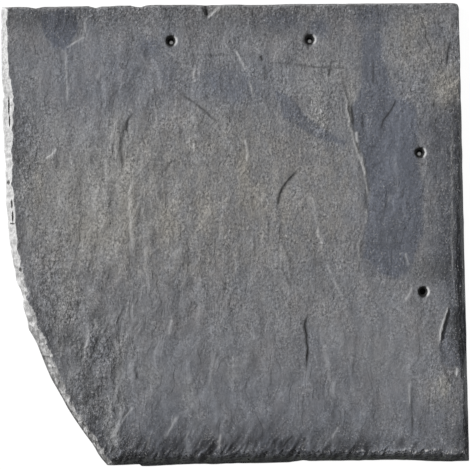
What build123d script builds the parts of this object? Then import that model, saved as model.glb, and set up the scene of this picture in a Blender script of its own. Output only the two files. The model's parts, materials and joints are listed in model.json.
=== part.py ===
from build123d import *
import math
import os

# A hewn roof slate of the bow-cut kind. It lies on its back with the riven face up, the head
# towards +Y and the bow cut in the corner at -X and -Y. Millimetres throughout.

# Plan of the back
head_width = 300.0
slate_length = 300.6
right_lean = 0.72
straight_length = 145.0
left_lean = 1.1
left_bulge = 1.2
bow_foot_inset = 66.4
bow_rise = 12.5
foot_hollow = 1.4
head_bulge = 0.6
head_corner_radius = 3.6

# Section
thickness = 5.6
arris_height = 0.9

# Thin under-layer that sticks out of the foot, from a short step near the bow
ledge_reach = 1.3
ledge_start = 19.0
ledge_length = 112.0
ledge_step = 2.0
ledge_root = 4.0

# Hewn edges: how many blows made each one, how wide its bevel is where the side starts, half
# way and where it ends, and how far a chip bites into the face between two blows
left_chips = 9
left_bevel = (4.4, 5.7, 5.5)
bow_chips = 13
bow_bevel = (5.5, 6.6, 5.0)
foot_chips = 17
foot_bevel = (5.0, 6.2, 6.4)
right_chips = 12
right_bevel = (3.2, 7.0, 1.4)
corner_bevel = (1.8, 1.8, 1.8)
head_chips = 14
head_bevel = (2.2, 2.6, 3.0)
chip_bite = 0.9
blow_unevenness = 0.28
width_unevenness = 0.16

# Nail holes, punched from the back: a narrow bore that bursts into a crater at the face
hole_radius = 2.0
crater_radius = 3.4
bore_length = 3.0
hole_from_corner = 98.2
hole_spacing = 90.8
holes_per_row = 2
row_from_head = 23.6
row_from_right = 28.2

# Cleavage step, where a layer of the face came away beside the right side
step_depth = 0.45
step_width = 40.0
step_length = 168.0
step_from_head = 24.0
step_from_right = 37.0

# Spall at the right side: a long splinter that broke off along the grain
spall_depth = 1.3
spall_length = 41.0
spall_width = 16.0
spall_from_foot = 61.0
spall_slope = 4.0

# Notch that a blow broke out of the head
notch_depth = 1.2
notch_reach = 8.0
notch_width = 10.0
notch_from_left = 134.5

# How far a cutter stands proud of the slate, so that no faces coincide
proud = 1.0

# Corners of the plan, with the head's left corner at zero
right_drift = slate_length * math.tan(math.radians(right_lean))
head_left = Vector(0, 0)
head_right = Vector(head_width, 0)
foot_right = Vector(head_width + right_drift, -slate_length)
foot_left = Vector(bow_foot_inset, -slate_length)
bow_start = Vector(straight_length * math.tan(math.radians(left_lean)), -straight_length)


def on_right_side(from_head):
    """A point of the right side, so far from the head."""
    return Vector(head_width + from_head * math.tan(math.radians(right_lean)), -from_head)


def inward(curve, share):
    """Unit normal into the slate where a counter-clockwise side has run so much of its length."""
    along = curve.tangent_at(share)
    return Vector(-along.Y, along.X)


def bevel_width(widths, share, count):
    """Width of a hewn bevel: start, middle and end blended, with the unevenness of hand work."""
    start, middle, end = widths
    smooth = start * (1 - share) ** 2 + 2 * middle * share * (1 - share) + end * share**2
    return smooth * (1 + width_unevenness * math.sin(5.3 * share * count))


def blow_shares(count):
    """Where the blows of one side meet, as shares of its length, unevenly spaced."""
    shares = [0.0]
    for blow in range(1, count):
        shares.append((blow + blow_unevenness * math.sin(2.4 * blow)) / count)
    return shares


def inset_corner(corner, normal_a, width_a, normal_b, width_b):
    """The point that lies width_a inside one side and width_b inside the next."""
    spread = normal_a.X * normal_b.Y - normal_a.Y * normal_b.X
    if abs(spread) < 0.3:
        return corner + (normal_a * width_a + normal_b * width_b) / 2
    x = (width_a * normal_b.Y - width_b * normal_a.Y) / spread
    y = (width_b * normal_a.X - width_a * normal_b.X) / spread
    return corner + Vector(x, y)


def bowed_side(start, end, rise):
    """A side that swells out of the slate by so much half way, or hollows into it below zero."""
    chord = end - start
    outward = Vector(chord.Y, -chord.X).normalized()
    return ThreePointArc(start, (start + end) / 2 + outward * rise, end)


def make_sides():
    """The six sides in counter-clockwise order, from the head's left corner."""
    corner_cut = head_corner_radius
    right_end = on_right_side(corner_cut)
    head_start = head_right - Vector(corner_cut, 0)
    rounding = head_right - Vector(corner_cut, corner_cut)
    corner_top = rounding + Vector(1, 1).normalized() * corner_cut
    corner = ThreePointArc(right_end, corner_top, head_start)
    return [
        (bowed_side(head_left, bow_start, left_bulge), left_chips, left_bevel),
        (bowed_side(bow_start, foot_left, bow_rise), bow_chips, bow_bevel),
        (bowed_side(foot_left, foot_right, -foot_hollow), foot_chips, foot_bevel),
        (Line(foot_right, right_end), right_chips, right_bevel),
        (corner, 1, corner_bevel),
        (bowed_side(head_start, head_left, head_bulge), head_chips, head_bevel),
    ]


def make_stations(sides):
    """Where two chips meet: a point on the back's outline and one on the face's."""
    stations = []
    for index, (curve, count, widths) in enumerate(sides):
        before, before_count, before_widths = sides[index - 1]
        for share in blow_shares(count):
            back = curve.position_at(share)
            normal = inward(curve, share)
            width = bevel_width(widths, share, count)
            face = back + normal * width
            if share == 0.0:
                last_width = bevel_width(before_widths, 1.0, before_count)
                face = inset_corner(back, inward(before, 1.0), last_width, normal, width)
            stations.append((back, face, count == 1))
    return stations


def ring(stations, height, on_face):
    """One closed outline at a height: straight blows on the back, bitten arcs on the face."""
    edges = []
    for index, (back, face, is_round) in enumerate(stations):
        next_back, next_face, _ = stations[(index + 1) % len(stations)]
        start, end = (face, next_face) if on_face else (back, next_back)
        middle = (start + end) / 2
        along = (end - start).normalized()
        into = Vector(-along.Y, along.X)
        bite = min(chip_bite, (end - start).length / 12)
        if is_round:
            bite = -(math.sqrt(2) - 1) / 2 * (end - start).length
        lift = Vector(0, 0, height)
        if on_face or is_round:
            edges.append(ThreePointArc(start + lift, middle + into * bite + lift, end + lift))
        else:
            edges.append(Line(start + lift, end + lift))
    return Wire(edges)


def make_blank():
    """The hewn slab: a square arris at the back, and above it the chipped bevel."""
    stations = make_stations(make_sides())
    back = ring(stations, 0.0, on_face=False)
    arris = ring(stations, arris_height, on_face=False)
    face = ring(stations, thickness, on_face=True)
    return Solid.make_loft([back, arris, face], ruled=True)


def make_ledge():
    """The under-layer at the foot: it steps out near the bow and runs back into the foot."""
    outline = Polyline(
        (ledge_start, ledge_root),
        (ledge_start, 0),
        (ledge_start + ledge_step, -ledge_reach),
        (ledge_start + ledge_length, foot_hollow / 2),
        (ledge_start + ledge_length, ledge_root),
        close=True,
    )
    return Pos(foot_left.X, foot_left.Y) * extrude(make_face(outline), arris_height)


def hole_places():
    """The nail holes: one row under the head, one down the right side, from the same corner."""
    places = []
    for number in range(holes_per_row):
        away = hole_from_corner + number * hole_spacing
        places.append(Vector(head_width - away, -row_from_head))
        places.append(on_right_side(away) - Vector(row_from_right, 0))
    return places


def make_hole(place):
    """A nail hole's cutter: the bore from the back, then the cone of the crater."""
    cone_height = thickness - bore_length
    growth = (crater_radius - hole_radius) / cone_height
    profile = Polyline(
        (0, -proud),
        (hole_radius, -proud),
        (hole_radius, bore_length),
        (crater_radius + growth * proud, thickness + proud),
        (0, thickness + proud),
        close=True,
    )
    return Pos(place.X, place.Y) * revolve(Plane.XZ * make_face(profile), Axis.Z)


def make_step():
    """The cleavage step's cutter: a long lens along the grain, waisted on its inner side."""
    top = on_right_side(step_from_head) - Vector(step_from_right, 0)
    down = on_right_side(step_from_head + step_length) - on_right_side(step_from_head)
    inner = Vector(-step_width, 0)
    edge = Spline(
        top + inner * 0.25,
        top + inner * 0.55 + down * 0.12,
        top + inner * 0.95 + down * 0.30,
        top + inner * 0.74 + down * 0.58,
        top + inner * 1.00 + down * 0.86,
        top + inner * 0.70 + down,
        top + inner * 0.15 + down * 0.92,
        top + down * 0.55,
        periodic=True,
    )
    floor = Pos(0, 0, thickness - step_depth) * make_face(edge)
    return extrude(floor, step_depth + proud)


def make_spall():
    """The splinter's cutter: a long sliver open to the right side, its floor falling outwards."""
    tip = on_right_side(slate_length - spall_from_foot - spall_length)
    root = on_right_side(slate_length - spall_from_foot)
    tilt = math.tan(math.radians(spall_slope))
    floor = Plane(
        origin=(root.X - spall_width, root.Y, thickness - spall_depth),
        x_dir=(1, 0, -tilt),
        z_dir=(tilt, 0, 1),
    )
    plan = Polyline(
        (spall_width * 0.3, 0),
        (spall_width + proud, 0),
        (spall_width + proud, spall_length),
        (spall_width + tip.X - root.X - proud, spall_length),
        (0, spall_length * 0.4),
        close=True,
    )
    return extrude(floor * make_face(plan), thickness)


def make_notch():
    """The notch's cutter: a shallow triangle open to the head, its floor falling to the edge."""
    floor = Plane(
        origin=(notch_from_left, -notch_reach, thickness - notch_depth / 4),
        x_dir=(1, 0, 0),
        z_dir=(0, notch_depth, notch_reach),
    )
    plan = Polyline(
        (0, 0),
        (notch_width, notch_reach + proud),
        (-notch_width / 8, notch_reach + proud),
        close=True,
    )
    return extrude(floor * make_face(plan), thickness)


slate = make_blank() + make_ledge()
slate -= [make_hole(place) for place in hole_places()]
slate -= make_step()
slate -= make_spall()
slate -= make_notch()

# The finished slate is centred on the middle of its plan
middle = slate.bounding_box().center()
slate = Pos(-middle.X, -middle.Y) * slate

os.makedirs("parts", exist_ok=True)
export_step(slate, "parts/roof_slate.step")
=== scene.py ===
import json
import math

import bpy
import numpy as np
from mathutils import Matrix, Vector


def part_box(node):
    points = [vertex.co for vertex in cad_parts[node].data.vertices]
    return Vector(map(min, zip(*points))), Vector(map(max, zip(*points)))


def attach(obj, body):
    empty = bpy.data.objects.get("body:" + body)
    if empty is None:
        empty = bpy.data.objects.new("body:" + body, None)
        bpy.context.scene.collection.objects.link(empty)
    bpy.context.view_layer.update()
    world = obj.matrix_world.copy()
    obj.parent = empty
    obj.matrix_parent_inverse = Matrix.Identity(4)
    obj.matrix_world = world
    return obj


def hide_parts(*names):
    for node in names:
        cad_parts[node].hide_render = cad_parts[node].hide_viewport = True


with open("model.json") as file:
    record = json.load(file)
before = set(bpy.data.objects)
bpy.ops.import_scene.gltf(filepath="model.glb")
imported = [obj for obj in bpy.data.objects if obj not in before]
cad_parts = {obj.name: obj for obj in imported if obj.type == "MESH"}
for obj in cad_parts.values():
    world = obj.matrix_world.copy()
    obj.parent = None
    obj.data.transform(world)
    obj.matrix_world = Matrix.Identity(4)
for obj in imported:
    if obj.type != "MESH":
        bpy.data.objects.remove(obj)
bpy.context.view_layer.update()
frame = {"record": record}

# A hewn, bow-cut roof slate lying on its back, riven face up, head towards +Y.
# Places on the slate are given in millimetres across from the head's left corner and down from
# the head. Heights are in millimetres above the back.

MM = 0.001
LOW, HIGH = (np.array(corner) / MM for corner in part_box("roof_slate"))
BORES = [mount for mount in frame["record"]["mounts"] if mount["kind"] == "bore"]

# How far the finished slate stays inside the CAD node's box
CLEARANCE = 0.01

# Plan
LENGTH = 300.6
HEAD_WIDTH = 300.0
HEAD_BULGE = 0.6
RIGHT_LEAN = math.tan(math.radians(0.72))
STRAIGHT = 145.0
LEFT_LEAN = math.tan(math.radians(1.1))
LEFT_BULGE = 1.2
BOW_FOOT = 66.4
BOW_RISE = 12.5
HEAD_CORNER_RADIUS = 5.6
OTHER_CORNER_RADIUS = 1.0
HEAD_LEFT_X = HIGH[0] - HEAD_WIDTH - LENGTH * RIGHT_LEAN
HEAD_Y = HIGH[1] - HEAD_BULGE

# Section, with how far the middle of the face lies below its highest places
THICKNESS = HIGH[2]
ARRIS = 0.9
FACE_DROP = 0.75
LEDGE_THICKNESS = 0.7

# Nail holes: the crater at the face, how far the stone burst beside it, and the punch
HOLES_PER_ROW = 2
CRATER_RADIUS = 3.4
BURST_REACH = 4.7
BURST_DEPTH = 0.7
BURST_RAGGEDNESS = 1.6
PUNCH_SPARE = 1.0
PUNCH_RINGS = 20
PUNCH_SIDES = 40

# Slump of the face along the right side: from and to, how far in, how deep
SLUMP_START = 62
SLUMP_END = 222
SLUMP_REACH = 9.5
SLUMP_DEPTH = 0.5

# Mesh: crowded towards its sides, bent near the head and the foot, and thinned where it is plain
COLUMNS = 560
ROWS = 470
COLUMN_CROWDING = 0.35
ROW_CROWDING = 0.2
EDGE_FADE = 10
TRIANGLES = 188000
SHARP_ANGLE = 50

# Fine grain raised on the mesh, and how many rounds of blurring find a hollow
GRAIN_HEIGHT = 0.12
GRAIN_SIZE = 2.2
HOLLOW_ROUNDS = 6

# How far the left side and the bow stand out of their plain line: down, out
LEFT_NIBBLES = [
    (0, 0.0), (9, 0.1), (12.5, -0.3), (16, 0.2), (30, 0.4), (44, 0.2), (50, -0.3), (54.5, -0.65),
    (58, -1.4), (61, 0.0), (64.5, -0.65), (68, -0.2), (71, 0.35), (76, -0.2), (81, -0.15),
    (84, -0.65), (91, -0.5), (94, -0.2), (97, -0.7), (100.5, -0.45), (103.5, -1.1), (107, -0.4),
    (114, -0.5), (120, -0.15), (123.5, -0.2), (126.5, 0.45), (133, -0.2), (139.5, -0.6), (143, 0.0),
    (146, -0.4), (159, -0.1), (165.5, -0.4), (169, -0.15), (172, -0.6), (175, -0.4), (178.5, 0.1),
    (182, -0.4), (185, -1.5), (188.5, -1.6), (191.5, -1.9), (195, -0.4), (198, 0.0), (205, -0.1),
    (208, 0.5), (211.5, 1.1), (214.5, 0.3), (218, -0.4), (221, -0.8), (228, -0.7), (234, -0.4),
    (244, 0.0), (251, -0.4), (257, -0.6), (264, -0.25), (277, -0.6), (286.5, -1.0), (290, -0.6),
    (293, 0.1), (297, 0.4), (301, 0.0),
]
# How far the head stands out of the line between its corners: across, out
HEAD_NIBBLES = [
    (0, 0.0), (11, 0.25), (17, 0.1), (22.5, -0.9), (27, 0.0), (32, 0.2), (36, 0.0), (40, 0.25),
    (46, 0.1), (57, 0.35), (62, -0.9), (65.5, 0.1), (70, 0.0), (77, 0.5), (84.5, 0.45), (88, -0.5),
    (91.5, -0.8), (95, 0.45), (98, 0.6), (127, 0.6), (131, 0.2), (134, -0.1), (137, 0.1), (143, 0.1),
    (147, 0.35), (157, 0.35), (163, 0.1), (178, 0.05), (186, 0.35), (200, 0.4), (213, 0.2),
    (226, 0.15), (236, 0.25), (259, 0.15), (292, 0.0), (300, 0.0),
]
# How far the foot stands out of the line between its corners, under-layer included: across, out
FOOT_NIBBLES = [
    (66, 0.3), (71, 0.6), (77.5, 0.35), (82, 0.15), (87.5, 0.0), (89, 1.2), (95, 1.25), (101, 1.1),
    (106, 0.75), (117, 0.3), (130, 0.15), (134, 0.4), (139, 0.4), (144, 0.1), (150, 0.0), (160, 0.05),
    (172, -0.1), (186, -0.3), (191, -0.95), (195, -1.45), (199, -1.0), (203, -0.95), (207, -1.1),
    (231, -0.95), (239, -1.35), (250, -1.4), (256, -1.25), (263, -1.0), (270, -0.55), (283, 0.0),
    (292, 0.2), (304, 0.0),
]
# The same without the under-layer, which shows beyond it
FOOT_LINE = [
    (66, 0.3), (86, 0.0), (92, -0.2), (120, -0.7), (150, -0.9), (190, -1.6), (200, -1.3), (304, -0.7),
]

# Hewn bevels: where two blows meet along a side, and how wide the bevel is there
LEFT_BLOWS = [
    (0, 4.2), (13, 4.0), (27, 4.2), (36, 4.8), (45, 5.3), (57, 6.6), (67, 7.4), (80, 6.0),
    (95, 5.0), (106, 4.6), (116, 4.0), (126, 5.8), (141, 5.0), (151, 5.6), (159, 4.5), (169, 4.9),
    (178, 6.0), (185, 4.2), (191.5, 2.6), (196.5, 5.0), (202, 6.0), (208, 6.4), (215, 7.0),
    (221, 6.2), (226, 7.0), (232.5, 6.6), (239, 5.6), (244.5, 6.6), (251, 4.4), (258, 4.2),
    (264, 4.3), (277.5, 4.4), (287.5, 3.8), (294, 3.8), (301, 3.6),
]
FOOT_BLOWS = [
    (66, 4.0), (78, 5.6), (90, 7.0), (101, 6.0), (113, 7.8), (124, 6.4), (138, 7.8), (151, 6.4),
    (163, 7.4), (177, 6.4), (190, 8.6), (198, 7.0), (211, 6.0), (226, 7.4), (238, 6.2), (251, 7.6),
    (266, 6.2), (279, 7.2), (290, 5.4), (304, 4.0),
]
RIGHT_BLOWS = [
    (0, 1.0), (20, 1.3), (40, 1.0), (60, 1.5), (82, 1.9), (104, 2.3), (127, 3.1), (140, 4.6),
    (155, 5.2), (176, 6.2), (200, 6.0), (218, 6.4), (235, 4.6), (250, 3.2), (262, 3.4), (283, 3.0),
    (301, 2.6),
]
HEAD_BLOWS = [
    (0, 1.6), (18, 1.2), (36, 2.0), (52, 1.2), (69, 2.2), (88, 2.4), (104, 1.4), (122, 1.6),
    (134, 2.4), (150, 1.2), (171, 1.8), (196, 1.1), (220, 1.6), (246, 1.0), (272, 1.4), (300, 1.2),
]
# How round each bevel is: 1 is flat, and less is fuller towards the face
ROUNDNESS = {"left": 0.75, "right": 0.6, "head": 0.7, "foot": 0.6}
# How far a chip bites into the face, how deep its bed is, and how thick the layers in it are
BITE = 0.5
SCOOP = 0.15
LAMINA = 0.9
# Flat breaks within a bevel: their size, and the seed of their noise
CHIP_SIZE = 4.6
CHIP_SEED = 60
# How far up the stone broke coarsely along the foot: across, up
FOOT_BREAK = [(60, 28), (190, 24), (230, 14), (304, 10)]
# How far up from the foot its flutes colour the face
FLUTE_REACH = 24
# Slits and pits where layers opened in the left bevel: across, down, half width, half length
SLITS = [
    (4.7, 65, 0.55, 6.5), (5.1, 75, 0.5, 4), (6.0, 129, 0.7, 3.2), (6.5, 137.5, 0.7, 4),
    (6.4, 142, 1.8, 0.7), (3.8, 115, 1.4, 1.4), (4.0, 11, 0.6, 2.6), (11.5, 172, 1.0, 1.6),
]
# Hair cracks across the left bevel: how far down
HAIR_CRACKS = [48, 57, 65.5, 73, 89, 94.5, 156, 167, 178]
HAIR_WIDTH = 0.45

# How much each form of split stands out
BOLDNESS = {"lip": 1.5, "drop": 1.5, "rise": 2.4, "fall": 2.4, "ridge": 1.1, "crack": 1.5}
# How strongly each form is painted darker and paler, and how widely. The darkening is painted shade on
# drops, falls and cracks, which face away from the light, with dirt in the cracks; the paling is painted
# highlight on lips, rises and ridges, which face the light, with worn stone.
LINE_SHADE_AND_DIRT = {
    "lip": (0, 1), "drop": (3.6, 0.95), "rise": (0, 1), "fall": (1.2, 2.0), "ridge": (0, 1),
    "crack": (6.0, 0.75),
}
LINE_HIGHLIGHT_AND_WEAR = {
    "lip": (2.8, 0.95), "drop": (0, 1), "rise": (1.3, 1.7), "fall": (0, 1), "ridge": (2.8, 0.9),
    "crack": (0, 1),
}
# How the face split, drawn from the head towards the foot: form, height, fade, points. A lip or
# a rise goes up towards the right side, and a drop or a fall goes down. A lip or a drop is sharp.
SPLIT_LINES = [
    ("lip", 0.45, 4.0, [(144, 1.5), (139, 5), (135, 9.5)]),
    ("ridge", 0.5, 1.0, [(144, 1), (141, 3.5), (137.5, 7.5)]),
    ("drop", 0.9, 3.0, [(133.5, 0), (134, 4), (134.5, 8.5)]),
    ("crack", 0.25, 1.4, [(131.5, 1), (132.8, 4), (134, 8)]),
    ("lip", 0.26, 4.0, [(55, 19.5), (48, 24), (42.5, 27.5)]),
    ("lip", 0.17, 4.0, [(42, 27.5), (42.5, 45.5), (43, 65)]),
    ("rise", 0.22, 5.0, [(67.5, 38.5), (61.5, 48.5)]),
    ("lip", 0.40, 3.0, [(36, 92.5), (32.5, 97), (28.5, 99.5)]),
    ("fall", 0.30, 5.0, [(82.5, 74), (78.5, 85), (77, 94.5), (79, 107.5)]),
    ("rise", 0.24, 4.0, [(77.5, 68.5), (72.5, 81.5), (70.5, 94.5)]),
    ("rise", 0.26, 6.0, [(85.5, 113), (83, 122), (82.5, 134), (84, 148)]),
    ("lip", 0.26, 3.0, [(126, 41.5), (126, 51.5)]),
    ("drop", 0.14, 3.0, [(125.5, 32), (125.5, 40)]),
    ("lip", 0.22, 3.0, [(124.5, 73), (125, 78)]),
    ("lip", 0.18, 3.0, [(125, 90), (125, 96.5)]),
    ("fall", 0.12, 4.0, [(113, 98), (106, 106), (101.5, 115), (101, 130)]),
    ("crack", 0.12, 0.7, [(116.5, 58.5), (126, 64), (133.5, 70.5), (141.5, 77)]),
    ("crack", 0.07, 0.8, [(125, 32.5), (151, 34)]),
    ("crack", 0.08, 0.9, [(171, 37.5), (205, 41.5), (228.5, 43)]),
    ("ridge", 0.34, 1.1, [(153, 29.5), (156, 34.5), (158, 39.5), (159.5, 44.5)]),
    ("ridge", 0.28, 0.9, [(161.5, 49), (164, 55), (164.5, 63)]),
    ("drop", 0.30, 3.0, [(169, 34), (170.5, 37.5)]),
    ("drop", 0.14, 3.5, [(172.5, 39), (171, 51)]),
    ("ridge", 0.45, 0.9, [(159, 87.5), (160, 95.5), (160, 104)]),
    ("rise", 0.22, 3.0, [(83, 127), (83.5, 148), (85.5, 170)]),
    ("rise", 0.16, 3.0, [(91, 127), (92, 148), (93.5, 170)]),
    ("rise", 0.14, 3.0, [(62, 118), (58.5, 134)]),
    ("fall", 0.12, 3.0, [(52, 104), (49, 122), (51, 138)]),
    ("drop", 0.40, 4.0, [(193.5, 109), (188.5, 113.5), (184, 119), (180.5, 125), (179.5, 133)]),
    ("fall", 0.18, 4.0, [(179.5, 131.5), (181.5, 151), (187.5, 169), (190, 186)]),
    ("drop", 0.50, 4.0, [(198.5, 203), (196, 209.5), (197.5, 216), (198, 225), (197, 241)]),
    ("rise", 0.26, 3.0, [(201, 125), (204.5, 138.5), (206, 151.5), (210.5, 164.5)]),
    ("rise", 0.16, 3.0, [(205.5, 151), (209, 161)]),
    ("ridge", 0.14, 1.2, [(211.5, 168), (213.5, 175), (217, 183), (222, 193)]),
    ("rise", 0.10, 3.0, [(222, 193), (224.5, 207)]),
    ("rise", 0.18, 4.0, [(208, 220), (211, 236.5), (214.5, 252.5), (217, 262.5)]),
    ("drop", 0.26, 3.5, [(215.5, 36.5), (215, 42), (213.5, 48.5)]),
    ("ridge", 0.26, 0.9, [(224.5, 60), (227.5, 80), (232, 96)]),
    ("ridge", 0.34, 0.8, [(229, 86), (232, 96), (235.5, 106), (237.5, 116), (239, 129)]),
    ("ridge", 0.50, 1.2, [(231, 84), (233, 92)]),
    ("ridge", 0.60, 1.0, [(234.5, 99), (236.5, 107), (238, 114)]),
    ("ridge", 0.34, 1.3, [(224, 56), (226, 70), (228, 84)]),
    ("fall", 0.30, 18.0, [(221.5, 44), (224.5, 60), (227.5, 80), (232, 96), (237.5, 116), (238, 145)]),
    ("ridge", 0.18, 0.9, [(238, 134), (237, 145)]),
    ("ridge", 0.22, 0.9, [(235.5, 152.5), (232, 157.5), (233, 163), (232.5, 168.5), (230, 178)]),
    ("fall", 0.22, 14.0, [(235.5, 152.5), (233, 163), (230, 178)]),
    ("drop", 0.26, 4.0, [(228.5, 66.5), (229.5, 81)]),
    ("drop", 0.20, 5.0, [(257.5, 62.5), (255, 69.5), (249.5, 77), (247, 84)]),
    ("fall", 0.16, 4.0, [(236.5, 70.5), (234.5, 82.5)]),
    ("fall", 0.14, 4.0, [(243.5, 36), (243, 45.5), (243.5, 55)]),
    ("drop", 0.24, 3.0, [(294, 25), (291.5, 33.5), (291, 42)]),
    ("drop", 0.20, 3.0, [(282.5, 64), (281, 69)]),
    ("crack", 0.08, 0.6, [(249.5, 103), (242, 108)]),
    ("lip", 0.22, 4.0, [(267, 185.5), (262.5, 195)]),
    ("lip", 0.16, 4.0, [(262.5, 163.5), (264.5, 173)]),
    ("lip", 0.40, 2.0, [(291, 198), (289.5, 202.5), (285, 215), (284, 224)]),
    ("drop", 1.00, 9.0, [(291.5, 199), (289, 208), (286, 217), (285.5, 222)]),
    ("fall", 0.20, 9.0, [(286, 217), (285, 226), (288, 236)]),
    ("lip", 0.40, 2.0, [(295, 238), (295.5, 245)]),
    ("lip", 0.18, 3.0, [(264.5, 247.5), (264, 264.5)]),
    ("fall", 0.16, 3.0, [(266, 256.5), (266, 286)]),
    ("rise", 0.34, 3.0, [(56, 206.5), (55, 215), (53.5, 225), (51.5, 234.5)]),
    ("fall", 0.40, 4.0, [(62.5, 215), (59.5, 223.5), (56, 231.5)]),
    ("rise", 0.26, 4.0, [(75, 248), (70.5, 258), (67.5, 267.5)]),
    ("rise", 0.36, 4.0, [(78, 260), (74, 274), (70, 288.5)]),
    ("rise", 0.16, 4.0, [(98.5, 224), (98.5, 242.5)]),
    ("rise", 0.16, 4.0, [(110, 204.5), (108, 216.5)]),
    ("lip", 0.20, 4.0, [(112, 268.5), (105.5, 282.5)]),
    ("rise", 0.18, 4.0, [(138, 229.5), (135, 242), (134.5, 252)]),
    ("drop", 0.70, 2.5, [(188.5, 282), (184, 286), (181.5, 290)]),
    ("lip", 0.20, 3.0, [(218.5, 276), (213.5, 284.5)]),
    ("lip", 0.16, 4.0, [(54.5, 8), (55, 18)]),
    ("rise", 0.12, 3.0, [(61, 75.5), (55, 79.5), (51, 83)]),
    ("drop", 0.22, 3.0, [(86, 70), (82, 75.5), (81, 83.5)]),
    ("rise", 0.16, 4.0, [(68, 101), (67, 109), (68.5, 116)]),
    ("fall", 0.14, 3.0, [(70.5, 113), (71.5, 124.5)]),
    ("drop", 0.12, 2.0, [(115, 100), (109.5, 103), (106, 110)]),
    ("ridge", 0.18, 1.0, [(102, 116.5), (101, 123.5), (102.5, 130)]),
    ("drop", 0.12, 3.0, [(103, 119.5), (103, 128)]),
    ("lip", 0.16, 3.0, [(145.5, 73.5), (145, 84)]),
    ("drop", 0.12, 2.0, [(86, 18.5), (86.5, 25)]),
    ("drop", 0.12, 2.5, [(93, 28), (94.5, 37.5)]),
    ("lip", 0.08, 3.0, [(115, 29.5), (111.5, 40)]),
    ("drop", 0.14, 2.0, [(190.5, 35), (188.5, 40)]),
    ("drop", 0.12, 2.5, [(242.5, 39), (243.5, 45.5), (243, 54.5)]),
    ("rise", 0.08, 2.5, [(256.5, 96.5), (257, 114.5), (259, 128)]),
    ("drop", 0.10, 2.0, [(262.5, 118), (261, 129)]),
    ("drop", 0.11, 2.0, [(252, 127.5), (249, 137), (247.5, 144.5)]),
    ("lip", 0.10, 2.5, [(254, 125), (252, 130.5)]),
    ("drop", 0.08, 2.0, [(163.5, 124), (163, 136)]),
    ("drop", 0.08, 2.5, [(172, 135.5), (174, 149)]),
    ("ridge", 0.18, 1.0, [(201.5, 133.5), (204.5, 142), (206, 152)]),
    ("fall", 0.16, 4.0, [(75, 167), (70, 173), (66.5, 180.5)]),
    ("rise", 0.12, 4.0, [(76.5, 167.5), (77, 177)]),
    ("fall", 0.10, 3.0, [(86.5, 122), (87, 143)]),
    ("fall", 0.10, 3.0, [(89, 153.5), (85.5, 168)]),
    ("rise", 0.14, 3.0, [(54, 206.5), (53.5, 219.5), (52.5, 233)]),
    ("lip", 0.16, 2.5, [(59, 204), (60.5, 212)]),
    ("drop", 0.18, 3.0, [(62, 217), (58.5, 224.5), (56, 231.5)]),
    ("fall", 0.16, 3.0, [(49, 214), (44, 222)]),
    ("rise", 0.10, 3.0, [(84.5, 194.5), (81.5, 207)]),
    ("lip", 0.14, 3.0, [(109.5, 205.5), (108, 210.5), (107.5, 216.5)]),
    ("drop", 0.12, 2.0, [(85.5, 222), (83.5, 232)]),
    ("drop", 0.16, 2.0, [(87, 239), (86, 245.5)]),
    ("lip", 0.12, 2.0, [(83, 232.5), (81.5, 237.5)]),
    ("drop", 0.10, 2.5, [(140.5, 224.5), (137, 234.5), (135.5, 244), (134.5, 254.5)]),
    ("lip", 0.22, 3.0, [(84, 262.5), (79.5, 267.5), (75.5, 273.5)]),
    ("drop", 0.20, 3.0, [(81.5, 263), (76.5, 269.5)]),
    ("lip", 0.16, 3.0, [(113.5, 268), (108.5, 276.5), (104, 284)]),
    ("lip", 0.24, 2.0, [(140.5, 280), (140, 291)]),
    ("rise", 0.08, 3.0, [(128, 214.5), (126, 225.5), (123.5, 236)]),
    ("lip", 0.10, 2.0, [(151.5, 153), (150, 166.5)]),
    ("crack", 0.05, 0.8, [(102, 179), (108.5, 182.5), (114, 188.5)]),
    ("drop", 0.12, 2.0, [(181, 169), (183.5, 175.5), (188, 186)]),
    ("lip", 0.12, 2.5, [(208, 154.5), (208.5, 166.5)]),
    ("rise", 0.06, 4.0, [(163.5, 213), (158, 224.5), (153.5, 236.5)]),
    ("drop", 0.10, 2.5, [(216, 258.5), (214.5, 272.5)]),
    ("lip", 0.08, 2.5, [(234, 255), (234, 271)]),
    ("drop", 0.08, 2.0, [(266.5, 246.5), (266, 266.5), (266, 284.5)]),
    ("drop", 0.10, 3.0, [(284.5, 232.5), (288.5, 243), (292.5, 251)]),
    ("rise", 0.12, 5.0, [(161.5, 153), (162.5, 168.5)]),
    ("fall", 0.08, 4.0, [(131, 193), (133, 201)]),
    ("rise", 0.10, 4.0, [(122.5, 131), (121, 144.5)]),
    ("drop", 0.08, 2.5, [(22.5, 100.5), (25, 112.5)]),
    ("rise", 0.14, 5.0, [(96.5, 250), (92.5, 259.5)]),
    ("lip", 0.14, 2.0, [(95, 282), (92, 290)]),
    ("lip", 0.12, 2.0, [(120.5, 278), (117, 285.5)]),
    ("drop", 0.14, 2.0, [(135.5, 284.5), (132.5, 292.5)]),
    ("lip", 0.14, 2.0, [(196.5, 285), (193.5, 291.5)]),
    ("ridge", 0.14, 0.7, [(294, 67.5), (294, 97), (293.5, 129.5), (293.5, 188)]),
]

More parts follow.
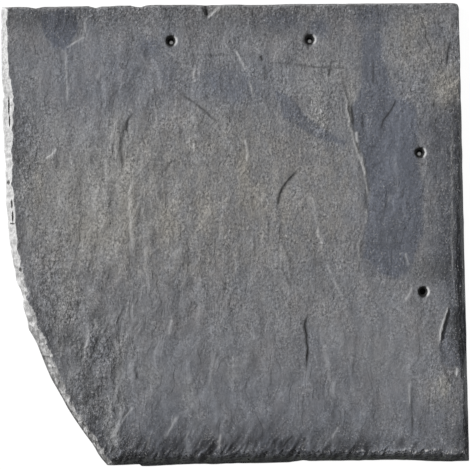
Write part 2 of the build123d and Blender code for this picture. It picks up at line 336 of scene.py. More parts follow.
# Stained areas with a drawn outline: strength, softness of the edge, points
BLUE_AREAS = [
    (0.95, 2.5, [
        (237, 20), (248, 16), (250, 38), (257, 60), (269, 67), (272, 78), (272, 90), (270, 98),
        (272, 107), (275, 125), (274, 150), (267, 173), (258, 180), (248, 178), (236, 167),
        (238, 140), (240, 125), (237, 103), (229, 80), (229, 68), (235, 52), (236, 30),
    ]),
    (0.95, 1.6, [(27, 5), (46, 2), (50, 11), (48, 20), (43, 28), (36, 28), (28, 18)]),
    (0.7, 1.5, [(178, 54), (190, 62), (199, 72), (213, 83), (228, 90), (224, 94), (205, 87), (184, 74)]),
    (0.35, 4.0, [(122, 46), (150, 42), (172, 50), (184, 66), (170, 68), (150, 64), (124, 62)]),
    (0.5, 3.0, [(132, 44), (150, 41), (164, 47), (172, 62), (152, 66), (137, 58)]),
]
TAN_AREAS = [
    (0.42, 18.0, [
        (10, 94), (38, 97), (64, 88), (76, 71), (97, 65), (129, 64), (162, 66), (188, 76), (211, 85),
        (233, 96), (238, 132), (229, 162), (207, 174), (155, 182), (102, 186), (57, 184), (22, 176),
        (8, 149),
    ]),
    (0.45, 14.0, [
        (50, 130), (62, 104), (92, 84), (130, 80), (166, 86), (196, 104), (200, 134), (176, 160),
        (130, 168), (88, 166), (56, 160),
    ]),
]
NAVY_AREAS = [
    (0.6, 9.0, [
        (272, 76), (292, 68), (312, 66), (312, 192), (291, 190), (280, 184), (276, 170), (282, 150),
        (280, 129), (276, 116), (272, 96),
    ]),
    (0.7, 1.5, [(291.5, 198), (301, 195), (305, 238), (291, 241), (285, 236), (285, 219)]),
]
# Stains as soft ovals: across, down, half width, half height, strength
BLUE_SPOTS = [
    (75, 42, 9, 12, 0.35), (110, 44, 7, 13, 0.6), (60, 62, 30, 18, 0.2), (22, 250, 12, 40, 0.3),
    (250, 68, 18, 22, 0.5), (256, 155, 16, 20, 0.6), (98, 233, 5, 14, 0.4), (180, 252, 90, 24, 0.2),
    (235, 258, 40, 22, 0.2), (35, 30, 40, 40, 0.2), (242, 10, 14, 12, 0.8), (184, 11, 20, 9, 0.75),
    (284, 20, 9, 10, 0.6), (97, 28, 10, 9, 0.75), (208, 16, 9, 9, 0.8), (277, 68, 7, 26, 0.4),
    (110, 18, 8, 12, 0.5), (118, 50, 8, 6, 0.4), (248, 171, 14, 9, 0.6), (275, 27, 9, 9, 0.5),
    (227, 139, 6, 9, 0.5),
]
TAN_SPOTS = [
    (82, 128, 9, 40, 0.9), (108, 142, 12, 24, 0.8), (158, 108, 7, 32, 0.8), (132, 135, 12, 22, 0.7),
    (60, 146, 26, 20, 0.8), (185, 130, 8, 26, 0.6), (24, 120, 8, 26, 0.6), (165, 128, 20, 16, 0.7),
    (272, 24, 22, 24, 0.6), (292, 56, 17, 17, 0.75), (150, 4, 22, 5, 0.5), (190, 5, 22, 4, 0.4),
    (284, 256, 14, 14, 0.5), (287, 251, 5, 9, 0.9), (75, 80, 6, 18, 0.5), (56, 190, 8, 14, 0.3),
    (72, 280, 5, 12, 0.4), (190, 195, 60, 30, 0.25), (60, 185, 50, 20, 0.25),
]
# Colder in hue, as soft ovals
COLD_SPOTS = [
    (170, 296, 170, 62, 1.0), (66, 45, 60, 38, 0.8), (150, 50, 50, 20, 0.7), (300, 180, 16, 56, 0.8),
    (255, 110, 22, 80, 0.4),
]
# Paler and darker patches of the face
PALE_SPOTS = [
    (78, 108, 16, 40, 0.9), (62, 125, 52, 46, 0.75), (160, 56, 100, 34, 0.35), (40, 78, 30, 24, 0.3),
    (37, 80, 7, 18, 0.7), (30, 125, 14, 40, 0.5), (120, 95, 40, 16, 0.3), (206, 60, 8, 16, 0.8),
    (206, 78, 9, 12, 1.0), (210, 50, 26, 26, 0.6), (40, 196, 7, 20, 0.7), (43, 182, 7, 15, 1.0),
    (54, 142, 11, 14, 0.7), (98, 100, 7, 22, 0.6), (36, 222, 6, 9, 0.6), (108, 157, 12, 9, 0.4),
    (160, 90, 10, 44, 0.4), (228.5, 66, 4, 20, 1.0), (233, 92, 3, 12, 0.8), (125, 274, 5, 18, 0.5),
    (238, 72, 7, 20, 0.7), (74, 236, 6, 24, 0.7), (96, 241, 10, 10, 0.6), (120, 256, 7, 16, 0.7),
    (150, 239, 10, 12, 0.6), (247, 268, 7, 12, 0.4), (238, 232, 16, 18, 0.4), (224, 257, 22, 12, 0.4),
    (119, 290, 5, 9, 0.5), (190, 274, 5, 12, 0.4), (296, 264, 6, 12, 0.5), (295, 292, 7, 3, 0.5),
    (262, 209, 6, 8, 0.35), (52, 38, 8, 12, 0.35), (273, 142, 5, 9, 0.4), (287, 250, 6, 10, 0.7),
    (20, 55, 12, 30, 0.4), (70.5, 283, 3.5, 14, 1.0), (67.5, 272, 3.5, 18, 1.0),
    (120, 150, 40, 20, 0.2), (75, 258, 6, 14, 0.7), (44, 248, 5, 16, 0.5), (160, 292, 6, 7, 0.6),
    (211, 286, 10, 6, 0.5), (264, 293, 7, 5, 0.5), (52, 264, 5, 12, 0.6), (33, 208, 5, 12, 0.5),
    (244, 44, 10, 24, 0.4),
]
DARK_SPOTS = [
    (12, 8, 14, 9, 0.5), (46, 9, 8, 6, 0.5), (44, 217, 9, 10, 0.8), (61, 262, 11, 18, 0.6),
    (34, 200, 6, 20, 0.5), (14, 100, 8, 16, 0.5), (79, 118, 3, 12, 0.3), (62, 223, 4, 9, 0.6),
    (133.5, 5, 2.2, 5, 1.0), (282, 175, 22, 11, 0.8), (296, 212, 9, 17, 1.0), (57, 197, 7, 18, 0.6),
    (57, 250, 9, 15, 0.8), (145, 173, 16, 13, 0.25), (165, 162, 22, 6, 0.45), (129, 168, 10, 12, 0.45),
    (163, 231, 5, 14, 0.6), (183, 246, 12, 10, 0.4), (62, 206, 9, 12, 0.9), (92, 208, 12, 14, 0.35),
    (50, 227, 5, 13, 0.9), (62, 243, 7, 9, 0.5), (90, 7, 5, 4, 0.5), (106, 5, 6, 5, 0.35),
    (225, 279, 7, 7, 0.5), (254, 286, 6, 6, 0.5), (132, 286, 9, 9, 0.6), (84, 288, 12, 12, 0.35),
    (176, 18, 14, 9, 0.5), (273, 26, 10, 14, 0.5), (247, 18, 10, 7, 0.5), (216, 14, 6, 5, 0.4),
    (100, 31, 8, 6, 0.5), (72, 32, 6, 12, 0.3), (179, 48, 6, 5, 0.3), (253, 150, 16, 20, 0.5),
    (294, 154, 5, 20, 0.6), (82, 207, 6, 12, 0.4), (119, 216, 4, 9, 0.5), (283, 215, 12, 10, 0.5),
    (299, 221, 5, 13, 0.9), (301, 284, 3, 14, 1.0), (276, 109, 5, 9, 0.5), (115, 287, 7, 12, 0.4),
    (17, 160, 8, 8, 0.4),
]
# How much darker the face is painted towards a side: place, how far in it reaches, share of the light it
# takes. Along the right side and beside the left bevel this is painted shade; along the head and the foot
# the face is just painted darker towards the side.
SHADES = [
    ("left", [
        (0, 6, 0.15), (60, 5, 0.2), (68, 10, 0.4), (105, 10, 0.42), (112, 6, 0.35), (140, 9, 0.5),
        (165, 9, 0.35), (176, 8, 0.15), (188, 8, 0.15), (196, 14, 0.5), (215, 16, 0.5),
        (240, 12, 0.3), (270, 16, 0.4), (301, 12, 0.3),
    ]),
    ("right", [
        (0, 5, 0.1), (60, 8, 0.1), (68, 10, 0.5), (150, 10, 0.55), (186, 11, 0.6), (196, 10, 0.6),
        (233, 10, 0.55), (240, 6, 0.35), (258, 9, 0.5), (301, 9, 0.5),
    ]),
    ("right", [
        (58, 30, 0.0), (70, 38, 0.4), (140, 38, 0.46), (155, 34, 0.6), (180, 30, 0.55), (196, 18, 0.5),
        (235, 18, 0.5), (250, 22, 0.3), (301, 26, 0.4),
    ]),
    ("right", [(0, 18, 0.12), (50, 14, 0.0), (301, 14, 0.0)]),
    ("head", [
        (0, 28, 0.45), (50, 28, 0.5), (60, 24, 0.25), (100, 26, 0.28), (160, 26, 0.32), (230, 22, 0.3),
        (300, 20, 0.2),
    ]),
    ("foot", [(66, 36, 0.84), (190, 36, 0.84), (236, 30, 0.82), (246, 15, 0.76), (304, 14, 0.7)]),
    ("foot", [(66, 90, 0.2), (230, 90, 0.25), (304, 60, 0.3)]),
]
# How coarsely the face broke, and how smooth it stayed, as soft ovals
COARSE_SPOTS = [
    (276, 40, 24, 40, 0.35), (301, 110, 9, 100, 0.8), (45, 196, 9, 16, 0.7), (62, 226, 18, 16, 1.0),
    (58, 262, 18, 26, 1.0), (206, 76, 9, 16, 0.7), (16, 95, 10, 40, 0.6), (30, 185, 12, 40, 0.5),
    (287, 248, 12, 14, 0.6), (75, 288, 14, 10, 1.0), (295, 218, 8, 20, 0.7), (90, 4, 60, 9, 0.7),
    (200, 4, 70, 8, 0.5),
]
SMOOTH_SPOTS = [
    (255, 115, 17, 66, 0.5), (150, 260, 100, 50, 0.6), (240, 240, 50, 50, 0.5), (95, 220, 30, 50, 0.4),
    (242, 40, 8, 40, 0.4), (50, 45, 50, 36, 0.3),
]
# How strongly the face is folded and wrinkled, as soft ovals
FOLDED_SPOTS = [
    (60, 215, 60, 75, 1.0), (110, 190, 45, 60, 0.8), (100, 60, 60, 50, 0.5), (75, 120, 40, 60, 0.6),
    (150, 260, 90, 30, 0.6), (275, 45, 22, 50, 0.6), (256, 140, 16, 40, 0.7),
]
# How many pale flecks lie along the foot: across, share
FOOT_FLECKS = [(66, 0.2), (180, 0.25), (228, 0.3), (234, 0.9), (256, 0.5), (262, 1.0), (304, 0.7)]
# How pale the bruised stone of the left side and the bow is: down, share
BRUISE = [
    (0, 0.93), (145, 0.95), (158, 0.9), (170, 0.82), (185, 0.72), (205, 0.62), (225, 0.52),
    (245, 0.46), (258, 0.38), (275, 0.3), (301, 0.3),
]

# Colours of the face: its clouds, then what stains it, then the darkening painted towards the sides and
# the foot's rim, and moss
DARK_CLOUD = (0.148, 0.150, 0.160, 1.0)
PALE_CLOUD = (0.184, 0.186, 0.194, 1.0)
WARM_CLOUD = (0.182, 0.174, 0.176, 1.0)
COLD_CLOUD = (0.150, 0.158, 0.174, 1.0)
TAN = (0.256, 0.240, 0.209, 1.0)
PALE_PATCH = (0.262, 0.260, 0.252, 1.0)
BLUE = (0.092, 0.100, 0.122, 1.0)
NAVY = (0.092, 0.099, 0.119, 1.0)
COLD_TINT = (0.955, 0.985, 1.045, 1.0)
SIDE_DARKENING = (0.003, 0.0035, 0.006, 1.0)
FOOT_RIM_DARK = (0.018, 0.019, 0.020, 1.0)
MOSS = (0.045, 0.050, 0.042, 1.0)
WHITE = (1.0, 1.0, 1.0, 1.0)
# How the noise of the thin layers is bent: in lumps how large, and how far across and along
BEND_SIZE = 26
BEND_ACROSS = 22
BEND_ALONG = 12
# How far from its middle the floor starts to turn from its painted shade below the slate to white, and
# where it is white
DARK_FLOOR = 138
WHITE_FLOOR = 144


def smooth(share):
    """A share eased in and out, and held between 0 and 1."""
    share = np.clip(share, 0, 1)
    return share * share * (3 - 2 * share)


def lattice(x, y, seed):
    """A fixed random number from -1 to 1 for each whole-numbered place."""
    mixed = x.astype(np.int64) * 374761393 + y.astype(np.int64) * 668265263 + seed * 1442695041
    mixed = (mixed ^ (mixed >> 13)) * 1274126177 & 0xFFFFFFFF
    mixed = (mixed ^ (mixed >> 15)) * 2246822519 & 0xFFFFFFFF
    return (mixed ^ (mixed >> 16)) / 0x7FFFFFFF - 1


def rough(x, y, size_x, size_y, seed):
    """Smooth random height from -1 to 1, whose lumps are about so many millimetres in size."""
    x = x / size_x
    y = y / size_y
    left = np.floor(x)
    top = np.floor(y)
    u = smooth(x - left)
    v = smooth(y - top)
    upper = lattice(left, top, seed) * (1 - u) + lattice(left + 1, top, seed) * u
    lower = lattice(left, top + 1, seed) * (1 - u) + lattice(left + 1, top + 1, seed) * u
    return upper * (1 - v) + lower * v


def layered(height, step, sharpness):
    """Gathers a smooth height into thin layers, as split stone has, with an edge at each."""
    level = height / step
    layer = np.floor(level)
    return (layer + smooth((level - layer - 0.5) * sharpness + 0.5)) * step


def facets(x, y, size, seed):
    """Flat, tilted facets with uneven outlines, as broken stone has: a height about -1 to 1."""
    column = np.floor(x / size)
    row = np.floor(y / size)
    nearest = np.full(x.shape, 1e9)
    height = np.zeros(x.shape)
    for step_x in (-1, 0, 1):
        for step_y in (-1, 0, 1):
            cell_x = column + step_x
            cell_y = row + step_y
            away_x = x / size - cell_x - 0.5 - 0.4 * lattice(cell_x, cell_y, seed)
            away_y = y / size - cell_y - 0.5 - 0.4 * lattice(cell_x, cell_y, seed + 1)
            away = away_x**2 + away_y**2
            level = 0.4 * lattice(cell_x, cell_y, seed + 2)
            level = level + lattice(cell_x, cell_y, seed + 3) * away_x
            level = level + lattice(cell_x, cell_y, seed + 4) * away_y
            closer = away < nearest
            nearest = np.where(closer, away, nearest)
            height = np.where(closer, level, height)
    return height


def along(points, place):
    """A value read off a list of (place, value) points."""
    places, values = zip(*points)
    return np.interp(place, places, values)


def bow_circle():
    """Centre and radius of the bow, through its start, its foot and its rise."""
    start = np.array([STRAIGHT * LEFT_LEAN, STRAIGHT])
    foot = np.array([BOW_FOOT, LENGTH])
    chord = foot - start
    half = np.linalg.norm(chord) / 2
    radius = (half**2 + BOW_RISE**2) / (2 * BOW_RISE)
    inner = np.array([chord[1], -chord[0]]) / (2 * half)
    return (start + foot) / 2 + inner * (radius - BOW_RISE), radius


def left_edge(down):
    """How far across the left side or the bow lies, so far below the head."""
    share = np.clip(down / STRAIGHT, 0, 1)
    straight = down * LEFT_LEAN - LEFT_BULGE * 4 * share * (1 - share)
    centre, radius = bow_circle()
    drop = np.clip(down, STRAIGHT, LENGTH + 5) - centre[1]
    bow = centre[0] - np.sqrt(radius**2 - drop**2)
    edge = np.where(down < STRAIGHT, straight, bow) - along(LEFT_NIBBLES, down)
    return np.maximum(edge, LOW[0] - HEAD_LEFT_X + CLEARANCE)


def right_edge(down):
    """How far across the right side lies."""
    edge = HEAD_WIDTH + down * RIGHT_LEAN + 0.15 * rough(down, down * 0, 9.0, 1.0, 5)
    return np.minimum(edge, HIGH[0] - HEAD_LEFT_X - CLEARANCE)


def head_edge(across):
    """How far below the line between the head's corners the head lies."""
    return 0.02 - along(HEAD_NIBBLES, across) + 0.08 * (1 + rough(across, across * 0, 4.0, 1.0, 6))


def foot_edge(across):
    """How far down the foot's silhouette lies."""
    return LENGTH + along(FOOT_NIBBLES, across) + 0.12 * rough(across, across * 0, 4.0, 1.0, 7)


def bevel_width(blows, place):
    """Width of a hewn bevel: read off between the blows, and bitten wider inside each chip."""
    places = np.array([blow[0] for blow in blows])
    chip = np.clip(np.searchsorted(places, place) - 1, 0, len(places) - 2)
    share = np.clip((place - places[chip]) / (places[chip + 1] - places[chip]), 0, 1)
    return along(blows, place) + BITE * 4 * share * (1 - share), share


def hewn_sides(across, down):
    """For each side: how far in a place lies as a share of its bevel, where in its chip, and in mm."""
    edge = left_edge(down)
    slope = (left_edge(down + 1.5) - left_edge(down - 1.5)) / 3
    lean = 1 / np.sqrt(1 + slope**2)
    ragged = 0.45 * rough(across, down, 2.6, 3.4, 11) + 0.25 * rough(across, down, 1.1, 1.3, 12)
    on_bow = smooth((down - 160) / 30)
    raggedness = {"left": 0.8 + 1.2 * on_bow, "right": 1.6, "head": 0.6, "foot": 4.0}
    sides = {}
    for name, inside, blows, place in (
        ("left", (across - edge) * lean, LEFT_BLOWS, down),
        ("right", right_edge(down) - across, RIGHT_BLOWS, down),
        ("head", down - head_edge(across), HEAD_BLOWS, across),
        ("foot", LENGTH + along(FOOT_LINE, across) - down, FOOT_BLOWS, across),
    ):
        width, share = bevel_width(blows, place)
        sides[name] = (inside / np.maximum(width + ragged * raggedness[name], 0.6), share, inside)
    return sides


def line_distance(points, x, y):
    """Distance from a drawn line, on which side (1 towards the right), the way along, its length."""
    points = np.array(points, float)
    lengths = np.hypot(*(points[1:] - points[:-1]).T)
    best = np.full(x.shape, 1e9)
    side = np.zeros(x.shape)
    way = np.zeros(x.shape)
    run = 0.0
    for start, end, length in zip(points[:-1], points[1:], lengths):
        step = (end - start) / length
        t = np.clip((x - start[0]) * step[0] + (y - start[1]) * step[1], 0, length)
        dx = x - start[0] - t * step[0]
        dy = y - start[1] - t * step[1]
        distance = np.hypot(dx, dy)
        nearer = distance < best
        best = np.where(nearer, distance, best)
        side = np.where(nearer, np.sign(dx * step[1] - dy * step[0]), side)
        way = np.where(nearer, run + t, way)
        run += length
    return best, side, way, run


def line_profile(form, fade, signed):
    """How high a drawn split stands, from -1 to 1, at a distance to its left or right."""
    if form == "crack":
        return -np.exp(-((signed / fade) ** 2))
    if form == "ridge":
        return np.exp(-((signed / fade) ** 2))
    width = 3.2 if form in ("rise", "fall") else 1.0
    profile = smooth(signed / width + 0.5) * np.exp(-np.clip(signed, 0, None) / fade)
    return -profile if form in ("drop", "fall") else profile


def drawn_splits(across, down):
    """The drawn splits of the face: their height, the painted shade and dirt and the painted highlight
    and worn stone on them, and nearness.
    """
    height, shade_and_dirt, highlight_and_wear, near = np.zeros((4,) + across.shape)
    wander_x = across + 0.45 * rough(across, down, 4.0, 5.0, 21) + 0.2 * rough(across, down, 1.5, 2.0, 22)
    wander_y = down + 0.4 * rough(across, down, 4.0, 5.0, 23)
    broken = 0.85 + 0.3 * rough(across, down, 3.0, 5.0, 24)
    for form, rise, fade, points in SPLIT_LINES:
        xs, ys = zip(*points)
        reach = fade * 3 + 3
        here = (across > min(xs) - reach) & (across < max(xs) + reach)
        here &= (down > min(ys) - reach) & (down < max(ys) + reach)
        if not here.any():
            continue
        distance, side, way, run = line_distance(points, wander_x[here], wander_y[here])
        past = np.where((way <= 0) | (way >= run), distance, 0)
        ends = smooth(np.minimum(way, run - way) / (0.25 * run) + 0.2)
        ends = ends * np.clip(1 - past / (0.5 * fade + 1), 0, 1) * broken[here]
        profile = line_profile(form, fade, distance * side)
        height[here] += rise * BOLDNESS[form] * ends * profile
        for marks, (strength, width) in ((shade_and_dirt, LINE_SHADE_AND_DIRT[form]), (highlight_and_wear, LINE_HIGHLIGHT_AND_WEAR[form])):
            mark = min(rise * strength, 1.0) * ends * np.exp(-((distance / width) ** 2))
            marks[here] = np.maximum(marks[here], mark)
        near[here] = np.maximum(near[here], smooth(2.6 - distance) * (past < 1))
    return height, shade_and_dirt, highlight_and_wear, near


def nail_holes(across, down):
    """For each place: distance from the nearest nail hole's middle, and how far to its right."""
    nearest = np.full(across.shape, 1e9)
    right = np.zeros(across.shape)
    for bore in BORES:
        x = bore["pos_m"][0] / MM - HEAD_LEFT_X
        y = HEAD_Y - bore["pos_m"][1] / MM
        away = np.hypot(across - x, down - y)
        closer = away < nearest
        nearest = np.where(closer, away, nearest)
        right = np.where(closer, (across - x) / np.maximum(away, 0.01), right)
    return nearest, right


def oval_stain(spots, across, down):
    """How stained a place is, from a list of soft ovals."""
    amount = np.zeros(across.shape)
    uneven = 1 + 0.3 * rough(across, down, 5, 14, 71)
    for x, y, half_width, half_height, strength in spots:
        away = ((across - x) / half_width) ** 2 + ((down - y) / half_height) ** 2
        amount = np.maximum(amount, strength * np.exp(-(away**1.2) * uneven))
    return amount


def coarseness(across, down):
    """How coarsely a place of the face broke: 0 is usual, 1 is hackly, and below 0 is smooth."""
    return oval_stain(COARSE_SPOTS, across, down) - oval_stain(SMOOTH_SPOTS, across, down)


def hackles(across, down):
    """Small, sharp lumps of a coarsely broken face, from -1 to 1."""
    return 0.5 * rough(across, down, 3.4, 5.0, 38) + 0.5 * rough(across, down, 1.9, 2.6, 39)


def flutes(across, down):
    """Slanting flutes, like claw marks, that the foot was broken into, from -1 to 1."""
    slant = across + 0.5 * down + 1.5 * rough(across, down, 9, 7, 35)
    crest = 1 - 2 * np.abs(rough(slant, down, 4.4, 11, 37))
    return 0.6 * crest + 0.4 * rough(slant, down, 1.9, 5, 36)


def face_relief(across, down):
    """The riven face above and below its mean: swells, streaks, flutes and hackles."""
    bend = across + 4 * rough(across, down, 26, 38, 30) + 1.5 * rough(across, down, 10, 15, 29)
    swell = 0.30 * rough(across, down, 46, 70, 31) + 0.30 * rough(bend, down, 21, 44, 32)
    wave = 0.34 * rough(bend, down, 13, 34, 43) + 0.18 * rough(bend, down, 6.5, 26, 44)
    knoll = 0.8 * rough(across + 0.4 * down, down, 9, 15, 33)
    folded = oval_stain(FOLDED_SPOTS, across, down)
    foot_reach = along(FOOT_BREAK, across)
    toward_foot = smooth((down - LENGTH + foot_reach) / foot_reach)
    hackly = 0.6 * coarseness(across, down).clip(0) * hackles(across, down)
    relief = swell + wave * (0.9 + 0.8 * folded) + knoll * folded + hackly
    return relief + 1.2 * toward_foot * flutes(across, down)


def face_height(across, down):
    """Height of the riven face, with the slump along the right side and the burst nail holes."""
    relief = face_relief(across, down) + drawn_splits(across, down)[0]
    relief = np.where(relief > 0, FACE_DROP * np.tanh(relief / FACE_DROP), relief)
    inside = right_edge(down) - across
    slump = smooth((down - SLUMP_START) / 12) * smooth((SLUMP_END - down) / 16)
    slump = slump * smooth((SLUMP_REACH - inside) / SLUMP_REACH)
    away, right = nail_holes(across, down)
    burst = smooth((BURST_REACH - away) / 1.8) * smooth(right * 1.6 - 0.2)
    return THICKNESS - FACE_DROP + relief - SLUMP_DEPTH * slump - BURST_DEPTH * burst


def slit_depth(across, down):
    """How deep the slits in the left bevel go, from 0 to 1."""
    depth = np.zeros(across.shape)
    for x, y, half_width, half_length in SLITS:
        away = ((across - x) / half_width) ** 2 + ((down - y) / half_length) ** 2
        depth = np.maximum(depth, smooth(1.3 - away))
    return depth


def front_height(across, down):
    """Height of the upper skin: the face, cut down by the hewn bevel of each side."""
    top = face_height(across, down)
    height = top.copy()
    arris = ARRIS + 0.25 * rough(across, down, 6, 6, 51)
    grit = 0.10 * rough(across, down, 1.5, 1.5, 52)
    wavy = 0.35 * rough(across, down, 8, 11, 41)
    coarse = {"left": 0.12 + 0.4 * smooth((down - 165) / 60), "right": 0.3, "head": 0.3, "foot": 0.45}
    broken = facets(across + 0.8 * wavy, down, CHIP_SIZE, CHIP_SEED)
    for name, (share, chip, inside) in hewn_sides(across, down).items():
        clipped = np.clip(share, 0, 1)
        slope = arris + (top - arris) * clipped ** ROUNDNESS[name]
        worn = 4 * clipped * (1 - clipped)
        slope = slope - SCOOP * worn * 4 * chip * (1 - chip)
        slope = slope + (grit + broken) * worn * coarse[name]
        if name == "left":
            slope = slope - 0.9 * slit_depth(across, down) * worn
        else:
            slope = layered(slope + wavy, LAMINA, 2.2) - wavy
        if name == "foot":
            slope = np.where(inside < 0, LEDGE_THICKNESS, slope)
        height = np.where(share < 1, np.minimum(height, slope), height)
    return np.clip(height, 0.5, THICKNESS)


def back_height(across, down):
    """Height of the lower skin: nearly flat, with low swells off the surface it lies on."""
    swell = 0.14 * rough(across, down, 38, 60, 61) + 0.08 * rough(across, down, 9, 30, 62)
    return np.clip(swell, 0.02, 0.3)


def round_corner(across, down, corner, radius, inward):
    """Rounds one square corner of the plan by bending the mesh near it."""
    middle = (corner[0] + inward[0] * radius, corner[1] + inward[1] * radius)
    dx = (middle[0] - across) * inward[0]
    dy = (middle[1] - down) * inward[1]
    outside = (dx > 0) & (dy > 0)
    reach = np.hypot(dx, dy)
    pull = np.where(outside & (reach > 0), np.maximum(dx, dy) / np.maximum(reach, 1e-9), 1)
    return middle[0] - dx * pull * inward[0], middle[1] - dy * pull * inward[1]


def plan_grid():
    """The mesh's places in plan: rows from the head down, columns from the left side across."""
    rows = np.linspace(0, 1, ROWS + 1)[:, None] * np.ones((1, COLUMNS + 1))
    columns = np.linspace(0, 1, COLUMNS + 1)[None, :] * np.ones((ROWS + 1, 1))
    columns = columns - COLUMN_CROWDING * np.sin(2 * math.pi * columns) / (2 * math.pi)
    rows = rows - ROW_CROWDING * np.sin(2 * math.pi * rows) / (2 * math.pi)
    plain = rows * LENGTH
    across = left_edge(plain) * (1 - columns) + right_edge(plain) * columns
    down = plain + head_edge(across) * np.exp(-plain / EDGE_FADE)
    down = down + (foot_edge(across) - LENGTH) * np.exp(-(LENGTH - plain) / EDGE_FADE)
    head_right = (right_edge(np.zeros(1))[0], head_edge(np.array([HEAD_WIDTH]))[0])
    across, down = round_corner(across, down, head_right, HEAD_CORNER_RADIUS, (-1, 1))
    head_left = (left_edge(np.zeros(1))[0], head_edge(np.zeros(1))[0])
    return round_corner(across, down, head_left, OTHER_CORNER_RADIUS, (1, 1))


def skin_vertices(across, down, height):
    """Places and heights as vertices in metres, in the slate's own frame."""
    x = HEAD_LEFT_X + across
    y = np.minimum(HEAD_Y - down, HIGH[1] - CLEARANCE)
    y = np.maximum(y, LOW[1] + CLEARANCE)
    return np.stack([x, y, height], axis=-1).reshape(-1, 3) * MM


def grid_faces(first, flip):
    """Four-sided faces over one skin."""
    width = COLUMNS + 1
    corner = first + (np.arange(ROWS)[:, None] * width + np.arange(COLUMNS)[None, :]).reshape(-1)
    faces = np.stack([corner, corner + width, corner + width + 1, corner + 1], axis=1)
    return faces[:, ::-1] if flip else faces


def rim_loop():
    """Vertex numbers round the edge of a skin: down the left side, and back round to the head."""
    width = COLUMNS + 1
    left = np.arange(ROWS) * width
    foot = ROWS * width + np.arange(COLUMNS)
    right = (ROWS - np.arange(ROWS)) * width + COLUMNS
    head = COLUMNS - np.arange(COLUMNS)
    return np.concatenate([left, foot, right, head])


def mesh_from(name, vertices, faces):
    """A mesh of four-sided faces."""
    mesh = bpy.data.meshes.new(name)
    mesh.vertices.add(len(vertices))
    mesh.vertices.foreach_set("co", vertices.reshape(-1))
    mesh.loops.add(len(faces) * 4)
    mesh.loops.foreach_set("vertex_index", faces.reshape(-1))
    mesh.polygons.add(len(faces))
    mesh.polygons.foreach_set("loop_start", np.arange(len(faces)) * 4)
    mesh.update(calc_edges=True)
    return mesh


def plain_places(across, down):
    """Where the face has no drawn split, bevel, nail hole or hackly stone, so its mesh is thinned."""
    nearest_side = np.minimum.reduce([share for share, _, _ in hewn_sides(across, down).values()])
    near_side = nearest_side < 0.9
    near_split = drawn_splits(across, down)[3] > 0.3
    near_hole = nail_holes(across, down)[0] < 6.5
    near_foot = down > LENGTH - 12
    hackly = coarseness(across, down) > 0.75
    return ~(near_side | near_split | near_hole | near_foot | hackly)


def split_slate():
    """The slate before its holes are punched: an upper and a lower skin, joined round the rim."""
    across, down = plan_grid()
    front = skin_vertices(across, down, front_height(across, down))
    back = skin_vertices(across, down, back_height(across, down))
    count = len(front)
    rim = rim_loop()
    after = np.roll(rim, -1)
    wall = np.stack([rim, rim + count, after + count, after], axis=1)
    faces = np.concatenate([grid_faces(0, False), grid_faces(count, True), wall])
    mesh = mesh_from("slate_blank", np.concatenate([front, back]), faces)
    blank = add_object("slate_blank", mesh)
    plain = np.concatenate([plain_places(across, down).reshape(-1), np.ones(count, bool)])
    group = blank.vertex_groups.new(name="plain")
    group.add(np.nonzero(plain)[0].tolist(), 1.0, "REPLACE")
    return blank


def feed(tree, node, into, value):
    """Sets a node's input, or joins a socket to it, by the input's name or number."""
    if isinstance(value, bpy.types.NodeSocket):
        tree.links.new(value, node.inputs[into])
    else:
        node.inputs[into].default_value = value


def add_node(tree, kind, inputs=(), out=0, **settings):
    """Adds a node with its settings and inputs, and gives one of its outputs."""
    node = tree.nodes.new(kind)
    for setting, value in settings.items():
        setattr(node, setting, value)
    for into, value in dict(inputs).items():
        feed(tree, node, into, value)
    return node.outputs[out]


def math_node(tree, operation, *values, clamp=False):
    """A math node on sockets or plain numbers."""
    values = dict(enumerate(values))
    return add_node(tree, "ShaderNodeMath", values, operation=operation, use_clamp=clamp)


def add_object(name, data):
    """A new object in the scene."""
    thing = bpy.data.objects.new(name, data)
    bpy.context.scene.collection.objects.link(thing)
    return thing


def tree_with(name, sizes):
    """A geometry tree with a geometry input and output, and the named inputs for its sizes."""
    tree = bpy.data.node_groups.new(name, "GeometryNodeTree")
    tree.interface.new_socket("Geometry", in_out="INPUT", socket_type="NodeSocketGeometry")
    for label, kind, value in sizes:
        socket = tree.interface.new_socket(label, in_out="INPUT", socket_type="NodeSocket" + kind)
        if value is not None:
            socket.default_value = value
    tree.interface.new_socket("Geometry", in_out="OUTPUT", socket_type="NodeSocketGeometry")
    return tree, tree.nodes.new("NodeGroupInput").outputs


def clothe(tree, geometry, material):
    """Ends a tree: instances made real, and the material set."""
    realized = add_node(tree, "GeometryNodeRealizeInstances", {"Geometry": geometry})
    clothed = add_node(tree, "GeometryNodeSetMaterial", {"Geometry": realized, "Material": material})
    feed(tree, tree.nodes.new("NodeGroupOutput"), "Geometry", clothed)


def place_on(tree, axis):
    """How far along an axis each vertex lies."""
    place = add_node(tree, "GeometryNodeInputPosition")
    return add_node(tree, "ShaderNodeSeparateXYZ", {"Vector": place}, axis)


def punch_bar(tree, sizes):
    """A round bar along Z, as wide as the bore up to its length and growing to the crater above."""
    top = math_node(tree, "ADD", sizes["Thickness"], PUNCH_SPARE * MM)
    low = add_node(tree, "ShaderNodeCombineXYZ", {"Z": -PUNCH_SPARE * MM})
    high = add_node(tree, "ShaderNodeCombineXYZ", {"Z": top})
    shaft = add_node(tree, "GeometryNodeCurvePrimitiveLine", {"Start": low, "End": high})
    shaft = add_node(tree, "GeometryNodeResampleCurve", {"Curve": shaft, "Count": PUNCH_RINGS})
    flare = add_node(tree, "ShaderNodeMapRange", {
        "Value": place_on(tree, "Z"),
        "From Min": sizes["Bore length"],
        "From Max": sizes["Thickness"],
        "To Min": sizes["Bore radius"],
        "To Max": sizes["Crater radius"],
    })
    inputs = {"Resolution": PUNCH_SIDES, "Radius": 1.0}
    circle = add_node(tree, "GeometryNodeCurvePrimitiveCircle", inputs)
    inputs = {"Curve": shaft, "Profile Curve": circle, "Scale": flare, "Fill Caps": True}
    return add_node(tree, "GeometryNodeCurveToMesh", inputs)


